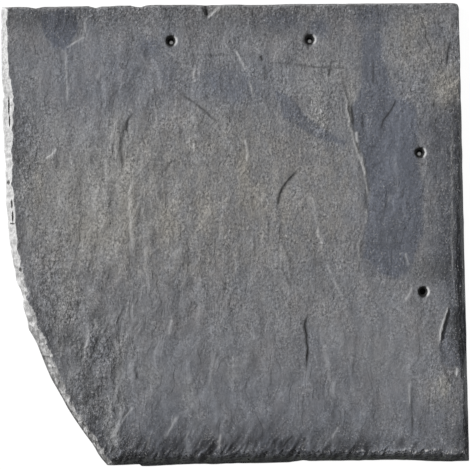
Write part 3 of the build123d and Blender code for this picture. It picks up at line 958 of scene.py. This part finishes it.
def burst_offset(tree, sizes):
    """How far a punch's wall is pushed in or out: ragged at the crater, round at the bore."""
    inputs = {"Scale": 420, "Detail": 3, "W": sizes["Seed"]}
    ragged = add_node(tree, "ShaderNodeTexNoise", inputs, noise_dimensions="4D")
    reach = add_node(tree, "ShaderNodeMapRange", {
        "Value": place_on(tree, "Z"),
        "From Min": sizes["Bore length"],
        "From Max": sizes["Thickness"],
    })
    push = math_node(tree, "SUBTRACT", ragged, 0.5)
    push = math_node(tree, "MULTIPLY", push, reach)
    push = math_node(tree, "MULTIPLY", push, sizes["Burst"])
    outward = add_node(tree, "GeometryNodeInputNormal")
    return add_node(tree, "ShaderNodeVectorMath", {0: outward, "Scale": push}, operation="SCALE")


def punch_tree():
    """Punches the nail holes: a bore from the back that bursts into a ragged crater at the face."""
    tree, sizes = tree_with("punch_nail_holes", [
        ("Row start", "Vector", (0, 0, 0)),
        ("Row step", "Vector", (0, 0, 0)),
        ("Side row start", "Vector", (0, 0, 0)),
        ("Side row step", "Vector", (0, 0, 0)),
        ("Bore radius", "Float", 2.0 * MM),
        ("Bore length", "Float", 3.0 * MM),
        ("Crater radius", "Float", CRATER_RADIUS * MM),
        ("Thickness", "Float", THICKNESS * MM),
        ("Burst", "Float", 0.5 * MM),
        ("Seed", "Float", 4.0),
        ("Stone", "Material", None),
    ])
    rows = tree.nodes.new("GeometryNodeJoinGeometry")
    for start, step in (("Row start", "Row step"), ("Side row start", "Side row step")):
        inputs = {"Count": HOLES_PER_ROW, "Start Location": sizes[start], "Offset": sizes[step]}
        feed(tree, rows, "Geometry", add_node(tree, "GeometryNodeMeshLine", inputs))
    inputs = {"Points": rows.outputs[0], "Instance": punch_bar(tree, sizes)}
    punches = add_node(tree, "GeometryNodeInstanceOnPoints", inputs)
    punches = add_node(tree, "GeometryNodeRealizeInstances", {"Geometry": punches})
    inputs = {"Geometry": punches, "Offset": burst_offset(tree, sizes)}
    punches = add_node(tree, "GeometryNodeSetPosition", inputs)
    inputs = {"Mesh 1": sizes["Geometry"], "Mesh 2": punches}
    cut = add_node(tree, "GeometryNodeMeshBoolean", inputs, operation="DIFFERENCE", solver="EXACT")
    clothe(tree, cut, sizes["Stone"])
    return tree


def grain_tree():
    """Raises the fine grain of the riven stone, drawn out along the split, on the upper skin."""
    tree, sizes = tree_with("riven_grain", [
        ("Height", "Float", 0.2 * MM),
        ("Grain size", "Float", 1.6 * MM),
        ("Stretch", "Float", 1.6),
        ("Foot of the grain", "Float", 1.2 * MM),
        ("Top", "Float", THICKNESS * MM),
        ("Seed", "Float", 2.0),
        ("Stone", "Material", None),
    ])
    x, y, z = (place_on(tree, axis) for axis in "XYZ")
    inputs = {"X": x, "Y": math_node(tree, "DIVIDE", y, sizes["Stretch"])}
    grain = add_node(tree, "ShaderNodeTexNoise", {
        "Vector": add_node(tree, "ShaderNodeCombineXYZ", inputs),
        "W": sizes["Seed"],
        "Scale": math_node(tree, "DIVIDE", 1.0, sizes["Grain size"]),
        "Detail": 2,
        "Roughness": 0.5,
    }, noise_dimensions="4D")
    lift = math_node(tree, "SUBTRACT", grain, 0.5)
    lift = math_node(tree, "MULTIPLY", lift, sizes["Height"])
    upper = math_node(tree, "GREATER_THAN", z, sizes["Foot of the grain"])
    raised = math_node(tree, "MULTIPLY_ADD", lift, upper, z)
    raised = math_node(tree, "MINIMUM", raised, sizes["Top"])
    place = add_node(tree, "ShaderNodeCombineXYZ", {"X": x, "Y": y, "Z": raised})
    inputs = {"Geometry": sizes["Geometry"], "Position": place}
    clothe(tree, add_node(tree, "GeometryNodeSetPosition", inputs), sizes["Stone"])
    return tree


def add_tree(piece, tree, values):
    """Puts a geometry tree on a piece, with its named inputs set by their identifiers."""
    modifier = piece.modifiers.new(tree.name, "NODES")
    modifier.node_group = tree
    for item in tree.interface.items_tree:
        if item.item_type == "SOCKET" and item.in_out == "INPUT" and item.name in values:
            modifier[item.identifier] = values[item.name]


def plain_mesh(piece, name):
    """What a piece's modifiers make of it, as a plain mesh object, and the piece itself removed."""
    evaluated = piece.evaluated_get(bpy.context.evaluated_depsgraph_get())
    mesh = bpy.data.meshes.new_from_object(evaluated)
    mesh.name = name
    finished = add_object(name, mesh)
    bpy.data.objects.remove(piece)
    return finished


def inside_outline(points, x, y):
    """Whether a place lies inside a closed outline."""
    inside = np.zeros(x.shape, bool)
    for (x0, y0), (x1, y1) in zip(points, points[1:] + points[:1]):
        if y0 == y1:
            continue
        crosses = (y0 > y) != (y1 > y)
        inside ^= crosses & (x < (x1 - x0) * (y - y0) / (y1 - y0) + x0)
    return inside


def drawn_stain(areas, across, down):
    """How stained a place is, from a list of drawn outlines with soft, uneven edges."""
    amount = np.zeros(across.shape)
    x = across + 1.2 * rough(across, down, 5, 9, 72) + 0.6 * rough(across, down, 2, 4, 73)
    y = down + 1.5 * rough(across, down, 6, 8, 74)
    for strength, softness, points in areas:
        distance = line_distance(points + points[:1], x, y)[0]
        signed = np.where(inside_outline(points, x, y), distance, -distance)
        amount = np.maximum(amount, strength * smooth(signed / (2 * softness) + 0.5))
    return amount


def hollows(mesh, heights):
    """How far each vertex lies below its surroundings, in millimetres."""
    edges = np.empty(len(mesh.edges) * 2, np.int32)
    mesh.edges.foreach_get("vertices", edges)
    one, other = edges[0::2], edges[1::2]
    count = np.bincount(one, minlength=len(heights)) + np.bincount(other, minlength=len(heights))
    blurred = heights
    for _ in range(HOLLOW_ROUNDS):
        total = np.bincount(one, blurred[other], len(heights))
        total += np.bincount(other, blurred[one], len(heights))
        blurred = 0.5 * blurred + 0.5 * total / count
    return blurred - heights


def side_shade(sides, across, down):
    """How much darker a place of the face is painted towards the sides: painted shade along the right
    side and beside the left bevel, and darker towards the head and the foot.
    """
    light = np.ones(across.shape)
    crest = {"left": 3.0 * hackles(across, down), "foot": 7.0 * flutes(across, down)}
    for name, points in SHADES:
        share, _, inside = sides[name]
        place = down if name in ("left", "right") else across
        places, reaches, strengths = zip(*points)
        reach = np.interp(place, places, reaches)
        strength = np.interp(place, places, strengths)
        if name == "left":
            inside = inside * (1 - 1 / np.maximum(share, 1))
        inside = inside + crest.get(name, 0) * smooth(inside / 4)
        light = light * (1 - strength * (1 - smooth(inside / reach)))
    return 1 - light


def hair_cracks(down):
    """How close a place on the left bevel lies to a hair crack, from 0 to 1."""
    amount = np.zeros(down.shape)
    for place in HAIR_CRACKS:
        amount = np.maximum(amount, np.exp(-(((down - place) / HAIR_WIDTH) ** 2)))
    return amount


def hole_marks(across, down, height):
    """The painted shade inside the nail holes, and the painted highlight on the crescent at each crater's
    right side, which faces the light.
    """
    away, right = nail_holes(across, down)
    beside = smooth((BURST_REACH - away) / 0.8) * smooth((away - 3.0) / 0.4)
    to_the_right = smooth((right - 0.45) * 2.5)
    near_face = smooth((height - 3.4) / 0.6)
    crescent = beside * to_the_right * near_face
    inside = smooth((4.0 - away) / 0.5)
    return inside * (1 - crescent), crescent


def paint(piece):
    """Writes what the stone's material reads at each vertex: bevels, stains, dirt and hollows, and the
    painted shade and highlights.
    """
    mesh = piece.data
    places = np.empty(len(mesh.vertices) * 3)
    mesh.vertices.foreach_get("co", places)
    places = places.reshape(-1, 3) / MM
    across = places[:, 0] - HEAD_LEFT_X
    down = HEAD_Y - places[:, 1]
    sides = hewn_sides(across, down)
    _, shade_and_dirt, highlight_and_wear, _ = drawn_splits(across, down)
    hole, crescent = hole_marks(across, down, places[:, 2])
    values = {
        "left_bevel": np.clip(sides["left"][0], 0, 3),
        "right_bevel": np.clip(sides["right"][0], 0, 3),
        "right_inside": np.clip(sides["right"][2], -3, 30),
        "head_inside": np.clip(sides["head"][2], -3, 30),
        "foot_inside": np.clip(sides["foot"][2], -3, 60),
        "bruise": along(BRUISE, down),
        "chip_tone": facets(across, down, CHIP_SIZE, CHIP_SEED),
        "slit": np.maximum(slit_depth(across, down), 0.35 * hair_cracks(down + 0.15 * across)),
        "blue": np.maximum(drawn_stain(BLUE_AREAS, across, down), oval_stain(BLUE_SPOTS, across, down)),
        "tan": np.maximum(drawn_stain(TAN_AREAS, across, down), oval_stain(TAN_SPOTS, across, down)),
        "navy": drawn_stain(NAVY_AREAS, across, down),
        "dark": oval_stain(DARK_SPOTS, across, down),
        "pale": oval_stain(PALE_SPOTS, across, down),
        "cold": oval_stain(COLD_SPOTS, across, down),
        "folded": oval_stain(FOLDED_SPOTS, across, down),
        # Darkening painted towards the sides: painted shade along the right side and beside the left
        # bevel
        "shade": side_shade(sides, across, down),
        "coarse": coarseness(across, down),
        "crest": coarseness(across, down).clip(0) * hackles(across, down),
        "flute": flutes(across, down) * smooth((down - LENGTH + FLUTE_REACH) / FLUTE_REACH),
        "fleck": along(FOOT_FLECKS, across),
        # Painted shade and dirt, and painted highlight and worn stone, along the splits
        "shade_and_dirt": shade_and_dirt,
        "highlight_and_wear": highlight_and_wear,
        # Painted shade in the nail holes, and a painted highlight on the crescent beside each
        "hole": hole,
        "crescent": crescent,
        # How far each vertex lies below its surroundings, for the painted shade in hollows and painted
        # light on rises
        "hollow": hollows(mesh, places[:, 2]),
    }
    for name, value in values.items():
        layer = mesh.attributes.new(name, "FLOAT", "POINT")
        layer.data.foreach_set("value", value.astype(np.float32))


class Shader:
    """A material's node tree, with short calls for the nodes that the stone uses."""

    def __init__(self, name):
        self.material = bpy.data.materials.new(name)
        self.material.use_nodes = True
        self.tree = self.material.node_tree
        self.tree.nodes.clear()
        self.surface = self.tree.nodes.new("ShaderNodeBsdfPrincipled")
        output = self.tree.nodes.new("ShaderNodeOutputMaterial")
        feed(self.tree, output, "Surface", self.surface.outputs[0])
        self.object_place = self.add("ShaderNodeTexCoord", out="Object")
        self.bent_place = self.bent(self.object_place)

    def add(self, kind, inputs=(), out=0, **settings):
        """Adds a node to the material, and gives one of its outputs."""
        return add_node(self.tree, kind, inputs, out, **settings)

    def finish(self, inputs):
        """Feeds the surface, and gives the finished material."""
        for into, value in inputs.items():
            feed(self.tree, self.surface, into, value)
        return self.material

    def read(self, name):
        """A vertex attribute."""
        return self.add("ShaderNodeAttribute", out="Fac", attribute_name=name)

    def bent(self, place):
        """Places pushed to and fro, so that a noise read there flows like the split stone."""
        inputs = {"Vector": place, "Scale": 1.0 / (BEND_SIZE * MM), "Detail": 2.0}
        push = self.add("ShaderNodeTexNoise", inputs, "Color")
        inputs = {0: push, 1: (BEND_ACROSS * MM, BEND_ALONG * MM, 0.0), 2: place}
        return self.add("ShaderNodeVectorMath", inputs, operation="MULTIPLY_ADD")

    def noise(self, size, stretch=1.0, detail=3.0, roughness=0.55, seed=0.0, bent=False):
        """Noise whose lumps are so many millimetres wide, drawn out along Y."""
        place = self.add("ShaderNodeMapping", {
            "Vector": self.bent_place if bent else self.object_place,
            "Scale": (1.0, 1.0 / stretch, 1.0),
            "Location": (seed, seed * 0.7, 0.0),
        })
        scale = 1.0 / (size * MM)
        inputs = {"Vector": place, "Scale": scale, "Detail": detail, "Roughness": roughness}
        return self.add("ShaderNodeTexNoise", inputs)

    def sums(self, operation, *values, clamp=False):
        """A math node."""
        return math_node(self.tree, operation, *values, clamp=clamp)

    def times(self, *values, clamp=False):
        """Values multiplied."""
        product = values[0]
        for value in values[1:]:
            product = self.sums("MULTIPLY", product, value, clamp=clamp)
        return product

    def scaled(self, value, gain, offset):
        """A value times a gain, plus an offset."""
        return self.sums("MULTIPLY_ADD", value, gain, offset)

    def span(self, value, start, end, low=0.0, high=1.0):
        """A value stretched from one range to another, eased and held at both ends."""
        inputs = {"Value": value, "From Min": start, "From Max": end, "To Min": low, "To Max": high}
        return self.add("ShaderNodeMapRange", inputs, interpolation_type="SMOOTHSTEP")

    def mix(self, share, first, second, blend="MIX"):
        """Two colours mixed."""
        inputs = {0: share, 6: first, 7: second}
        return self.add("ShaderNodeMix", inputs, 2, data_type="RGBA", blend_type=blend)

    def lay(self, colour, share, strength, over):
        """A colour with another laid over it, by a share and at most so strongly."""
        return self.mix(self.times(share, strength), colour, over)

    def tint(self, colour, factor):
        """A colour multiplied by another, or by a number."""
        return self.mix(1.0, colour, factor, "MULTIPLY")

    def vary(self, colour, noise, gain):
        """A colour made lighter and darker by a noise around 0.5."""
        factor = self.scaled(noise, gain, 1.0 - 0.5 * gain)
        return self.tint(colour, self.sums("MAXIMUM", factor, 0.15))

    def broken_up(self, value, noise, amount):
        """A value pushed up and down by a noise around 0.5, so that its edges turn ragged."""
        return self.sums("ADD", value, self.scaled(noise, amount, -0.5 * amount))


def grey(level, warmth=0.0):
    """A grey with a little more red than blue, or less."""
    return (level * (1 + warmth), level, level * (1 - warmth), 1.0)


def stained_face(s, streak, patch):
    """The colour of the riven face: cool grey clouds, tan, blue and navy stains, and paler and darker
    patches.
    """
    cloud = s.noise(20.0, stretch=1.6, detail=4.0, seed=8.9)
    hue = s.noise(11.0, stretch=1.5, detail=3.0, seed=21.3)
    colour = s.mix(s.span(cloud, 0.3, 0.7), DARK_CLOUD, PALE_CLOUD)
    colour = s.mix(s.span(hue, 0.5, 0.7, 0.0, 0.5), colour, WARM_CLOUD)
    colour = s.mix(s.span(hue, 0.5, 0.3, 0.0, 0.5), colour, COLD_CLOUD)
    for stain, noise, ragged, start, end, strength, over in (
        ("tan", patch, 0.9, 0.1, 1.1, 0.85, TAN),
        ("pale", streak, 0.8, 0.1, 1.0, 0.6, PALE_PATCH),
        ("blue", patch, 0.6, 0.1, 0.9, 0.85, BLUE),
        ("navy", patch, 0.5, 0.05, 0.95, 0.75, NAVY),
    ):
        share = s.span(s.broken_up(s.read(stain), noise, ragged), start, end)
        colour = s.lay(colour, share, strength, over)
    colour = s.mix(s.read("cold"), colour, s.tint(colour, COLD_TINT))
    dark = s.span(s.broken_up(s.read("dark"), streak, 0.8), 0.15, 1.0)
    return s.lay(colour, dark, 0.75, grey(0.07, -0.04))


def split_layers(s):
    """Height of the thin, flowing layers that the face split into, in millimetres."""
    flow = s.noise(6.5, stretch=4.0, detail=2.5, roughness=0.5, seed=81.0, bent=True)
    level = s.times(flow, 5.0)
    part = s.sums("FRACT", level)
    stepped = s.sums("ADD", s.sums("SUBTRACT", level, part), s.span(part, 0.28, 0.72))
    sharp = s.span(s.noise(12.0, stretch=1.8, detail=2.0, seed=91.0, bent=True), 0.44, 0.56)
    height = s.scaled(s.sums("SUBTRACT", stepped, level), sharp, level)
    height = s.times(height, s.scaled(s.read("folded"), 0.12, 0.14))
    knoll = s.noise(9.0, stretch=1.5, detail=2.0, roughness=0.45, seed=15.0, bent=True)
    return s.scaled(s.times(knoll, s.read("folded")), 1.9, height)


def grained(s, colour, grain, streak):
    """Adds the fine grain: light and dark flecks, bolder where the face broke coarsely."""
    coarse = s.read("coarse")
    cluster = s.noise(7.0, stretch=1.4, detail=2.0, seed=61.0)
    bold = s.scaled(coarse, 0.7, s.scaled(cluster, 2.4, -0.2))
    fleck = s.times(s.sums("SUBTRACT", grain, 0.5), s.times(bold, 2.4))
    fleck = s.sums("MAXIMUM", s.sums("ADD", fleck, 1.0), 0.2)
    colour = s.tint(colour, fleck)
    colour = s.vary(colour, streak, 0.4)
    colour = s.vary(colour, s.noise(8.0, stretch=3.0, detail=3.0, seed=71.0, bent=True), 0.45)
    colour = s.vary(colour, s.scaled(s.read("crest"), 0.5, 0.5), 0.7)
    speck = s.noise(1.0, stretch=1.2, detail=1.0, seed=3.1)
    salt = s.times(s.span(speck, 0.58, 0.74), s.times(bold, 0.35))
    colour = s.mix(salt, colour, grey(0.42, 0.02))
    pepper = s.times(s.span(speck, 0.42, 0.26), s.times(bold, 0.4))
    colour = s.mix(pepper, colour, grey(0.05, -0.03))
    pit = s.span(s.noise(3.0, stretch=1.3, detail=3.0, seed=101.0), 0.54, 0.64)
    return s.lay(colour, pit, s.times(coarse, 0.7, clamp=True), grey(0.045, -0.03))


def hewn_left(s, colour):
    """Adds the bruised, powdery stone of the left bevel and the bow, with its slits."""
    torn = s.noise(2.0, stretch=1.7, detail=3.0, roughness=0.65, seed=11.0)
    long_patch = s.noise(4.5, stretch=3.0, detail=2.0, seed=12.5)
    bevel = s.read("left_bevel")
    powder = s.mix(s.span(long_patch, 0.3, 0.7), grey(0.45, 0.004), grey(0.54, 0.002))
    powder = s.vary(powder, torn, 0.2)
    bruise = s.read("bruise")
    rugged = s.span(bruise, 0.95, 0.75)
    ragged = s.times(s.sums("SUBTRACT", torn, 0.5), s.scaled(rugged, 0.9, 0.2))
    edge = s.span(s.sums("ADD", bevel, ragged), 0.92, 1.06, 1.0, 0.0)
    tone = s.times(s.span(s.read("chip_tone"), -0.8, 0.8, -0.3, 0.3), rugged)
    tone = s.sums("ADD", tone, s.times(rugged, s.scaled(torn, 2.0, -1.0)))
    share = s.sums("ADD", bruise, tone, clamp=True)
    bruised = s.mix(share, grey(0.11, 0.01), powder)
    outer = s.times(s.span(bevel, 0.36, 0.14), s.span(bruise, 0.68, 0.45))
    bruised = s.lay(bruised, outer, 0.7, grey(0.05))
    bruised = s.mix(s.read("slit"), bruised, grey(0.10, 0.02))
    return s.mix(edge, colour, bruised)


def hewn_foot(s, colour, streak):
    """Adds the flutes near the foot, its darker rim, and the pale flecks on the broken crests."""
    inside = s.read("foot_inside")
    fleck = s.span(s.noise(1.1, stretch=2.0, detail=3.0, seed=17.0), 0.55, 0.66)
    band = s.times(s.span(inside, 3.5, 5.5), s.span(inside, 9.0, 6.5))
    lit = s.times(fleck, band, s.read("fleck"))
    rim = s.span(s.broken_up(inside, streak, 6.0), 2.5, 6.5, 0.85, 0.0)
    colour = s.vary(colour, s.scaled(s.read("flute"), 0.5, 0.5), 1.5)
    # The foot's rim is painted darker.
    colour = s.mix(rim, colour, FOOT_RIM_DARK)
    green = s.times(s.span(inside, 4.5, 2.5), s.span(streak, 0.45, 0.65))
    colour = s.lay(colour, green, 0.6, MOSS)
    return s.lay(colour, lit, 0.85, grey(0.46, 0.02))


def hewn_right_and_head(s, colour, patch):
    """Adds the dusty rims of the right side and the head, and the pits along the head."""
    inside = s.broken_up(s.read("right_inside"), patch, 3.0)
    dust = s.times(s.span(inside, 3.4, 1.6), s.span(s.read("right_bevel"), 1.3, 0.7))
    dust = s.times(dust, s.span(s.read("dark"), 0.2, 0.6, 1.0, 0.0))
    colour = s.lay(colour, dust, 0.8, grey(0.27, -0.03))
    head = s.read("head_inside")
    colour = s.mix(s.span(head, 2.4, 1.0, 0.0, 0.5), colour, grey(0.25))
    pit = s.span(s.noise(2.8, stretch=0.7, detail=2.5, seed=51.0), 0.53, 0.62)
    near_head = s.span(s.broken_up(head, patch, 5.0), 5.0, 1.5)
    return s.lay(colour, s.times(pit, near_head), 0.8, grey(0.035))


def marked(s, colour):
    """Adds painted shade and dirt along the splits and in the hollows, painted light and worn stone on
    what stands up, painted shade inside the nail holes and a painted highlight beside each.
    """
    # Painted shade, with dirt in the cracks, along the splits that face away from the light, and painted
    # highlight, with worn stone, along those that face it.
    colour = s.lay(colour, s.read("shade_and_dirt"), 0.9, grey(0.02))
    colour = s.lay(colour, s.read("highlight_and_wear"), 0.6, grey(0.42))
    # Painted shade, with dirt, in the hollows, and painted light on the rises.
    colour = s.tint(colour, s.span(s.read("hollow"), -0.15, 0.15, 1.2, 0.7))
    # Painted shade inside the nail holes, and a painted highlight on the crescent to the right of each,
    # which faces the light.
    colour = s.mix(s.read("hole"), colour, grey(0.006))
    return s.lay(colour, s.read("crescent"), 0.8, grey(0.5))


def slate_stone():
    """Riven slate: stained grey face, pale bruised hewing on the left, dirty foot and cracks."""
    s = Shader("slate_stone")
    grain = s.noise(1.5, stretch=1.2, detail=2.0, roughness=0.8)
    streak = s.noise(3.4, stretch=3.5, detail=3.0, seed=5.3)
    patch = s.noise(5.0, stretch=1.8, detail=4.0, seed=31.0)
    colour = stained_face(s, streak, patch)
    # Painted darkening towards the sides: painted shade along the right side and beside the left bevel,
    # and darker towards the head and the foot; less where the face is paler.
    shade = s.times(s.read("shade"), s.scaled(patch, 1.4, 0.3), clamp=True)
    shade = s.times(shade, s.scaled(s.read("pale"), -0.5, 1.0))
    colour = s.mix(shade, colour, SIDE_DARKENING)
    colour = grained(s, colour, grain, streak)
    colour = hewn_right_and_head(s, colour, patch)
    colour = hewn_foot(s, colour, streak)
    colour = hewn_left(s, colour)
    fine = s.noise(1.7, stretch=1.25, detail=2.5, roughness=0.6, seed=41.0)
    fine = s.times(fine, s.scaled(s.read("coarse"), 0.75, 0.6))
    height = s.sums("ADD", fine, split_layers(s))
    return s.finish({
        "Base Color": marked(s, colour),
        "Roughness": s.span(grain, 0.3, 0.7, 0.62, 0.86),
        "Specular IOR Level": 0.3,
        "Normal": s.add("ShaderNodeBump", {"Height": height, "Strength": 1.0, "Distance": MM}),
    })


def hole_rows():
    """The two rows of nail holes, from the record's mounts: start and step of each, in metres."""
    places = {bore["name"]: Vector((*bore["pos_m"][:2], 0.0)) for bore in BORES}
    head = places["nail_hole_head_outer"], places["nail_hole_head_inner"]
    side = places["nail_hole_side_upper"], places["nail_hole_side_lower"]
    return [(first, second - first) for first, second in (head, side)]


def make_slate():
    """The finished slate, standing for the CAD node."""
    stone = slate_stone()
    blank = split_slate()
    thin = blank.modifiers.new("thin_mesh", "DECIMATE")
    thin.ratio = TRIANGLES / (2 * len(blank.data.polygons))
    thin.use_collapse_triangulate = True
    thin.vertex_group = "plain"
    thin.vertex_group_factor = 0.0
    add_tree(blank, grain_tree(), {
        "Height": GRAIN_HEIGHT * MM,
        "Grain size": GRAIN_SIZE * MM,
        "Top": THICKNESS * MM,
        "Stone": stone,
    })
    (head_start, head_step), (side_start, side_step) = hole_rows()
    add_tree(blank, punch_tree(), {
        "Row start": head_start,
        "Row step": head_step,
        "Side row start": side_start,
        "Side row step": side_step,
        "Bore radius": BORES[0]["dims"]["r_mm"] * MM,
        "Bore length": BORES[0]["dims"]["length_mm"] * MM,
        "Crater radius": CRATER_RADIUS * MM,
        "Thickness": (THICKNESS - FACE_DROP) * MM,
        "Burst": BURST_RAGGEDNESS * MM,
        "Stone": stone,
    })
    slate = plain_mesh(blank, "riven_slate")
    slate.data.materials.clear()
    slate.data.materials.append(stone)
    slate.data.polygons.foreach_set("use_smooth", np.ones(len(slate.data.polygons), bool))
    slate.data.set_sharp_from_angle(angle=math.radians(SHARP_ANGLE))
    paint(slate)
    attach(slate, "root")
    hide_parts("roof_slate")


def seen_directly(tree):
    """1 where the camera looks, straight or by a glossy surface, and 0 where light is gathered."""
    path = tree.nodes.new("ShaderNodeLightPath").outputs
    return math_node(tree, "MAXIMUM", path["Is Camera Ray"], path["Is Glossy Ray"])


def painted_light_spots():
    """Where a pool of light is painted on the floor under a nail hole, a little below the hole's middle.
    """
    drop = Vector((0.2 * MM, -0.6 * MM, -0.2 * MM))
    lit = [bore for bore in BORES if bore["name"] != "nail_hole_side_lower"]
    return [Vector((*bore["pos_m"][:2], 0.0)) + drop for bore in lit]


def floor_finish():
    """White to the camera round the slate, painted dark below it as painted shade, and with painted light
    glowing where a nail hole shows it.
    """
    s = Shader("pale_floor")
    reach = s.add("ShaderNodeVectorMath", {0: s.object_place}, "Value", operation="LENGTH")
    beside = s.span(reach, DARK_FLOOR * MM, WHITE_FLOOR * MM)
    white_and_painted_light = s.times(beside, 0.95)
    # Painted pools of light: the floor glows pale under three nail holes.
    for place in painted_light_spots():
        inputs = {0: s.object_place, 1: place}
        away = s.add("ShaderNodeVectorMath", inputs, "Value", operation="DISTANCE")
        white_and_painted_light = s.sums("MAXIMUM", white_and_painted_light, s.span(away, 1.5 * MM, 0.7 * MM, 0.0, 0.2))
    return s.finish({
        # The floor's colour is painted dark below the slate, as painted shade.
        "Base Color": s.mix(beside, grey(0.02), grey(0.12)),
        "Roughness": 0.9,
        "Specular IOR Level": 0.0,
        "Emission Color": WHITE,
        "Emission Strength": s.times(seen_directly(s.tree), white_and_painted_light),
    })


def make_floor():
    """A floor just below the slate, which keeps its shadow: white round the slate, with painted shade
    below it and painted pools of light under three nail holes.
    """
    side = 3.0
    gap = 0.2 * MM
    mesh = bpy.data.meshes.new("floor")
    corners = [(-side, -side, -gap), (side, -side, -gap), (side, side, -gap), (-side, side, -gap)]
    mesh.from_pydata(corners, [], [(0, 1, 2, 3)])
    mesh.materials.append(floor_finish())
    add_object("floor", mesh)


def make_light():
    """A soft key light raking in from the left, and an even fill."""
    elevation = math.radians(28)
    heading = math.radians(24)
    share = 0.66
    key = bpy.data.lights.new("raking_key", "SUN")
    key.energy = math.pi * share / math.sin(elevation)
    key.angle = math.radians(7)
    flat = math.cos(elevation)
    towards = Vector((-math.cos(heading) * flat, math.sin(heading) * flat, math.sin(elevation)))
    add_object("raking_key", key).rotation_euler = towards.to_track_quat("Z", "Y").to_euler()
    world = bpy.data.worlds.new("studio")
    world.use_nodes = True
    tree = world.node_tree
    sky = tree.nodes["Background"]
    sky.inputs["Color"].default_value = WHITE
    fill = 1.0 - share
    strength = math_node(tree, "MULTIPLY", seen_directly(tree), 1.0 - fill)
    feed(tree, sky, "Strength", math_node(tree, "ADD", strength, fill))
    bpy.context.scene.world = world


def make_camera():
    """Straight above the slate, turned a hair, as the photograph was taken."""
    height = 0.95
    half_frame = 154.27 * MM
    data = bpy.data.cameras.new("camera")
    data.angle = 2 * math.atan(half_frame / height)
    camera = add_object("camera", data)
    camera.location = (-0.08 * MM, -0.20 * MM, height)
    camera.rotation_euler = (0, 0, math.radians(-0.577))
    bpy.context.scene.camera = camera


make_slate()
make_floor()
make_light()
make_camera()
bpy.context.scene.view_settings.view_transform = "Standard"
